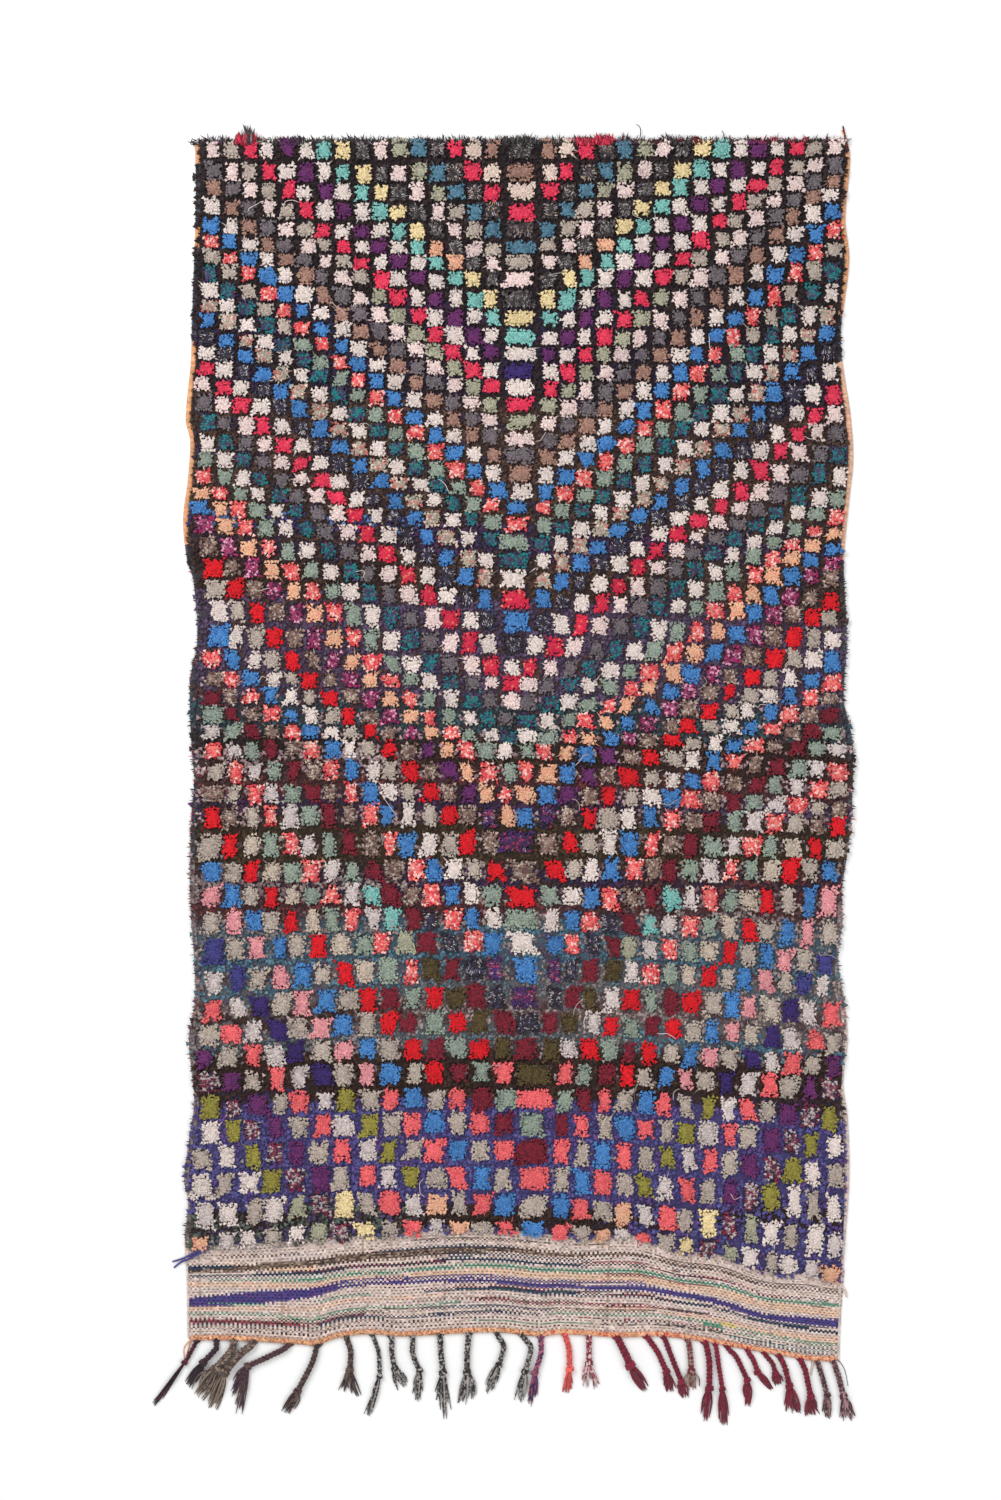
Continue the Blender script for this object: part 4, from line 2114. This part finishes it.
@dataclass
class StrayYarns:
    """Long ends that were never cut back, on the pile and past its edges."""

    count: int = 60

    def build(self) -> Object:
        """Lay the stray yarns and dress them.

        Returns:
            The piece.
        """
        rng = np.random.default_rng(SEED + 120)
        strands = [self.loose(rng) for _ in range(self.count)]
        strands += self.named(rng)
        mesh = strands_mesh("stray_yarns", strands, 4)
        return place_piece(mesh, PILE_FINISH, Part.PILE)

    def loose(self, rng: Rng) -> Strand:
        """Lay one long end on the pile.

        Args:
            rng: The random source.

        Returns:
            The strand.
        """
        start = np.array([rng.uniform(-660, 720), rng.uniform(-1000, 1400), 17.5])
        heading = rng.uniform(0, math.tau)
        points = [start - (0, 0, 5)]
        for _ in range(4):
            heading += rng.normal(0, 0.7)
            size = rng.uniform(5, 15)
            last = points[-1] + (math.cos(heading) * size, math.sin(heading) * size, 0)
            points.append(np.array([last[0], last[1], rng.uniform(18.5, 20.5)]))
        path = smooth_course([tuple(point) for point in points], 4)
        name = ("cream", "light_grey", "pale_pink", "cream", "slate", "taupe")[rng.integers(6)]
        colour = YARNS[name].pick(rng, 1, 0.05)[0]
        return Strand(path, np.linspace(0.9, 0.6, len(path)), colour, colour)

    def named(self, rng: Rng) -> list[Strand]:
        """Lay the ends that show past the rug's edges.

        Args:
            rng: The random source.

        Returns:
            The strands.
        """
        courses = (
            ("indigo", 3.0, ((204, 1246, 16), (196, 1252, 12), (190, 1255, 6), (182, 1258.5, 4),
                             (172.5, 1261.5, 3.4))),
            ("indigo", 3.0, ((206, 1249, 16), (197, 1254, 12), (189, 1258.5, 6), (181, 1262, 4),
                             (174, 1267.5, 3.4))),
            ("sage", 4.4, ((188, 1240, 5), (189.5, 1244, 5), (191, 1249, 5))),
            ("warm_cream", 3.4, ((839, 1284, 4), (845, 1290, 4), (846.5, 1297, 3.6))),
            ("orange", 1.4, ((192, 1339, 4), (185, 1346, 2), (184, 1354, 2), (186, 1363, 2))),
            ("orange", 1.4, ((191, 1341, 4), (188, 1350, 2), (186.5, 1357, 2), (187, 1364, 2))),
            ("charcoal", 1.3, ((640, 138, 9), (640.5, 132, 9), (639, 127, 8), (635.5, 125.4, 8))),
            ("maroon", 1.3, ((724, 140, 9), (723.4, 135, 8), (721.5, 131, 7))),
            ("maroon", 3.0, ((848, 152, 5), (845, 139, 6), (842.6, 126.5, 5))),
            ("orange", 2.6, ((845, 152, 5), (846, 141, 6), (841.5, 131, 5))),
            ("dark_teal", 1.0, ((834, 1357, 4), (840, 1362, 2), (845, 1371, 2), (848, 1386, 1.5))),
            ("warm_cream", 2.6, ((813, 1360, 4), (812, 1367, 3), (811, 1375, 2.8))),
        )
        strands = []
        for name, radius, course in courses:
            points = [(float(across_mm(x)), float(along_mm(y)), z) for x, y, z in course]
            path = smooth_course(points, 6)
            colour = YARNS[name].pick(rng, 1, 0.03)[0]
            strands.append(Strand(path, np.linspace(radius, radius * 0.6, len(path)), colour,
                                  colour))
        return strands


@dataclass
class Studio:
    """The pale floor, the soft light and the camera straight above."""

    floor_size: float = 14.0
    camera_height: float = 6.0
    camera_place: tuple = (-0.0084, 0.0585)
    frame_height: float = 3.435
    sensor: float = 36.0

    def build(self) -> None:
        """Build the floor, the lights and the camera."""
        self.floor()
        self.light("key_light", (-2.6, 2.6, 4.6), 3.2, 215.0)
        self.light("fill_light", (2.8, -1.6, 4.8), 3.6, 90.0)
        world = bpy.data.worlds.new("studio")
        world.use_nodes = True
        world.node_tree.nodes["Background"].inputs["Color"].default_value = (1, 1, 1, 1)
        world.node_tree.nodes["Background"].inputs["Strength"].default_value = 0.62
        bpy.context.scene.world = world
        bpy.context.scene.view_settings.view_transform = "Standard"
        camera = bpy.data.cameras.new("camera")
        camera.sensor_width = self.sensor
        camera.lens = self.sensor * self.camera_height / self.frame_height
        holder = bpy.data.objects.new("camera", camera)
        holder.location = (*self.camera_place, self.camera_height)
        bpy.context.scene.collection.objects.link(holder)
        bpy.context.scene.camera = holder

    def floor(self) -> None:
        """Lay the pale floor."""
        bm = bmesh.new()
        bmesh.ops.create_grid(bm, x_segments=1, y_segments=1, size=self.floor_size / 2)
        bmesh.ops.translate(bm, verts=bm.verts, vec=(0, 0, -0.0004))
        mesh = bpy.data.meshes.new("floor")
        bm.to_mesh(mesh)
        bm.free()
        material = bpy.data.materials.new("pale_floor")
        material.use_nodes = True
        shader = material.node_tree.nodes["Principled BSDF"]
        shader.inputs["Base Color"].default_value = (0.9, 0.9, 0.9, 1)
        shader.inputs["Roughness"].default_value = 0.9
        mesh.materials.append(material)
        floor = bpy.data.objects.new("floor", mesh)
        bpy.context.scene.collection.objects.link(floor)

    def light(self, name: str, place: tuple, size: float, power: float) -> None:
        """Hang a soft light that faces the rug's middle.

        Args:
            name: The light's name.
            place: Where it hangs.
            size: How wide it is.
            power: Its power in watts.
        """
        light = bpy.data.lights.new(name, "AREA")
        light.size = size
        light.energy = power
        holder = bpy.data.objects.new(name, light)
        holder.location = place
        holder.rotation_euler = (-Vector(place)).to_track_quat("-Z", "Y").to_euler()
        bpy.context.scene.collection.objects.link(holder)


def main() -> None:
    """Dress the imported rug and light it."""
    logging.basicConfig(level=logging.INFO, format="%(message)s")
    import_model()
    Studio().build()
    chart = PileChart()
    pile = KnottedPile(chart)
    pile.build()
    FrayedEnd(pile).build()
    PileBed(chart).build()
    cloth = GroundCloth().build()
    weave = FlatWeave().build()
    for side in Side:
        Selvedge(side).build()
    cord = TwinedCord().build()
    fringe = Fringe().build()
    StrayYarns().build()
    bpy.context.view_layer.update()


if __name__ == "__main__":
    main()
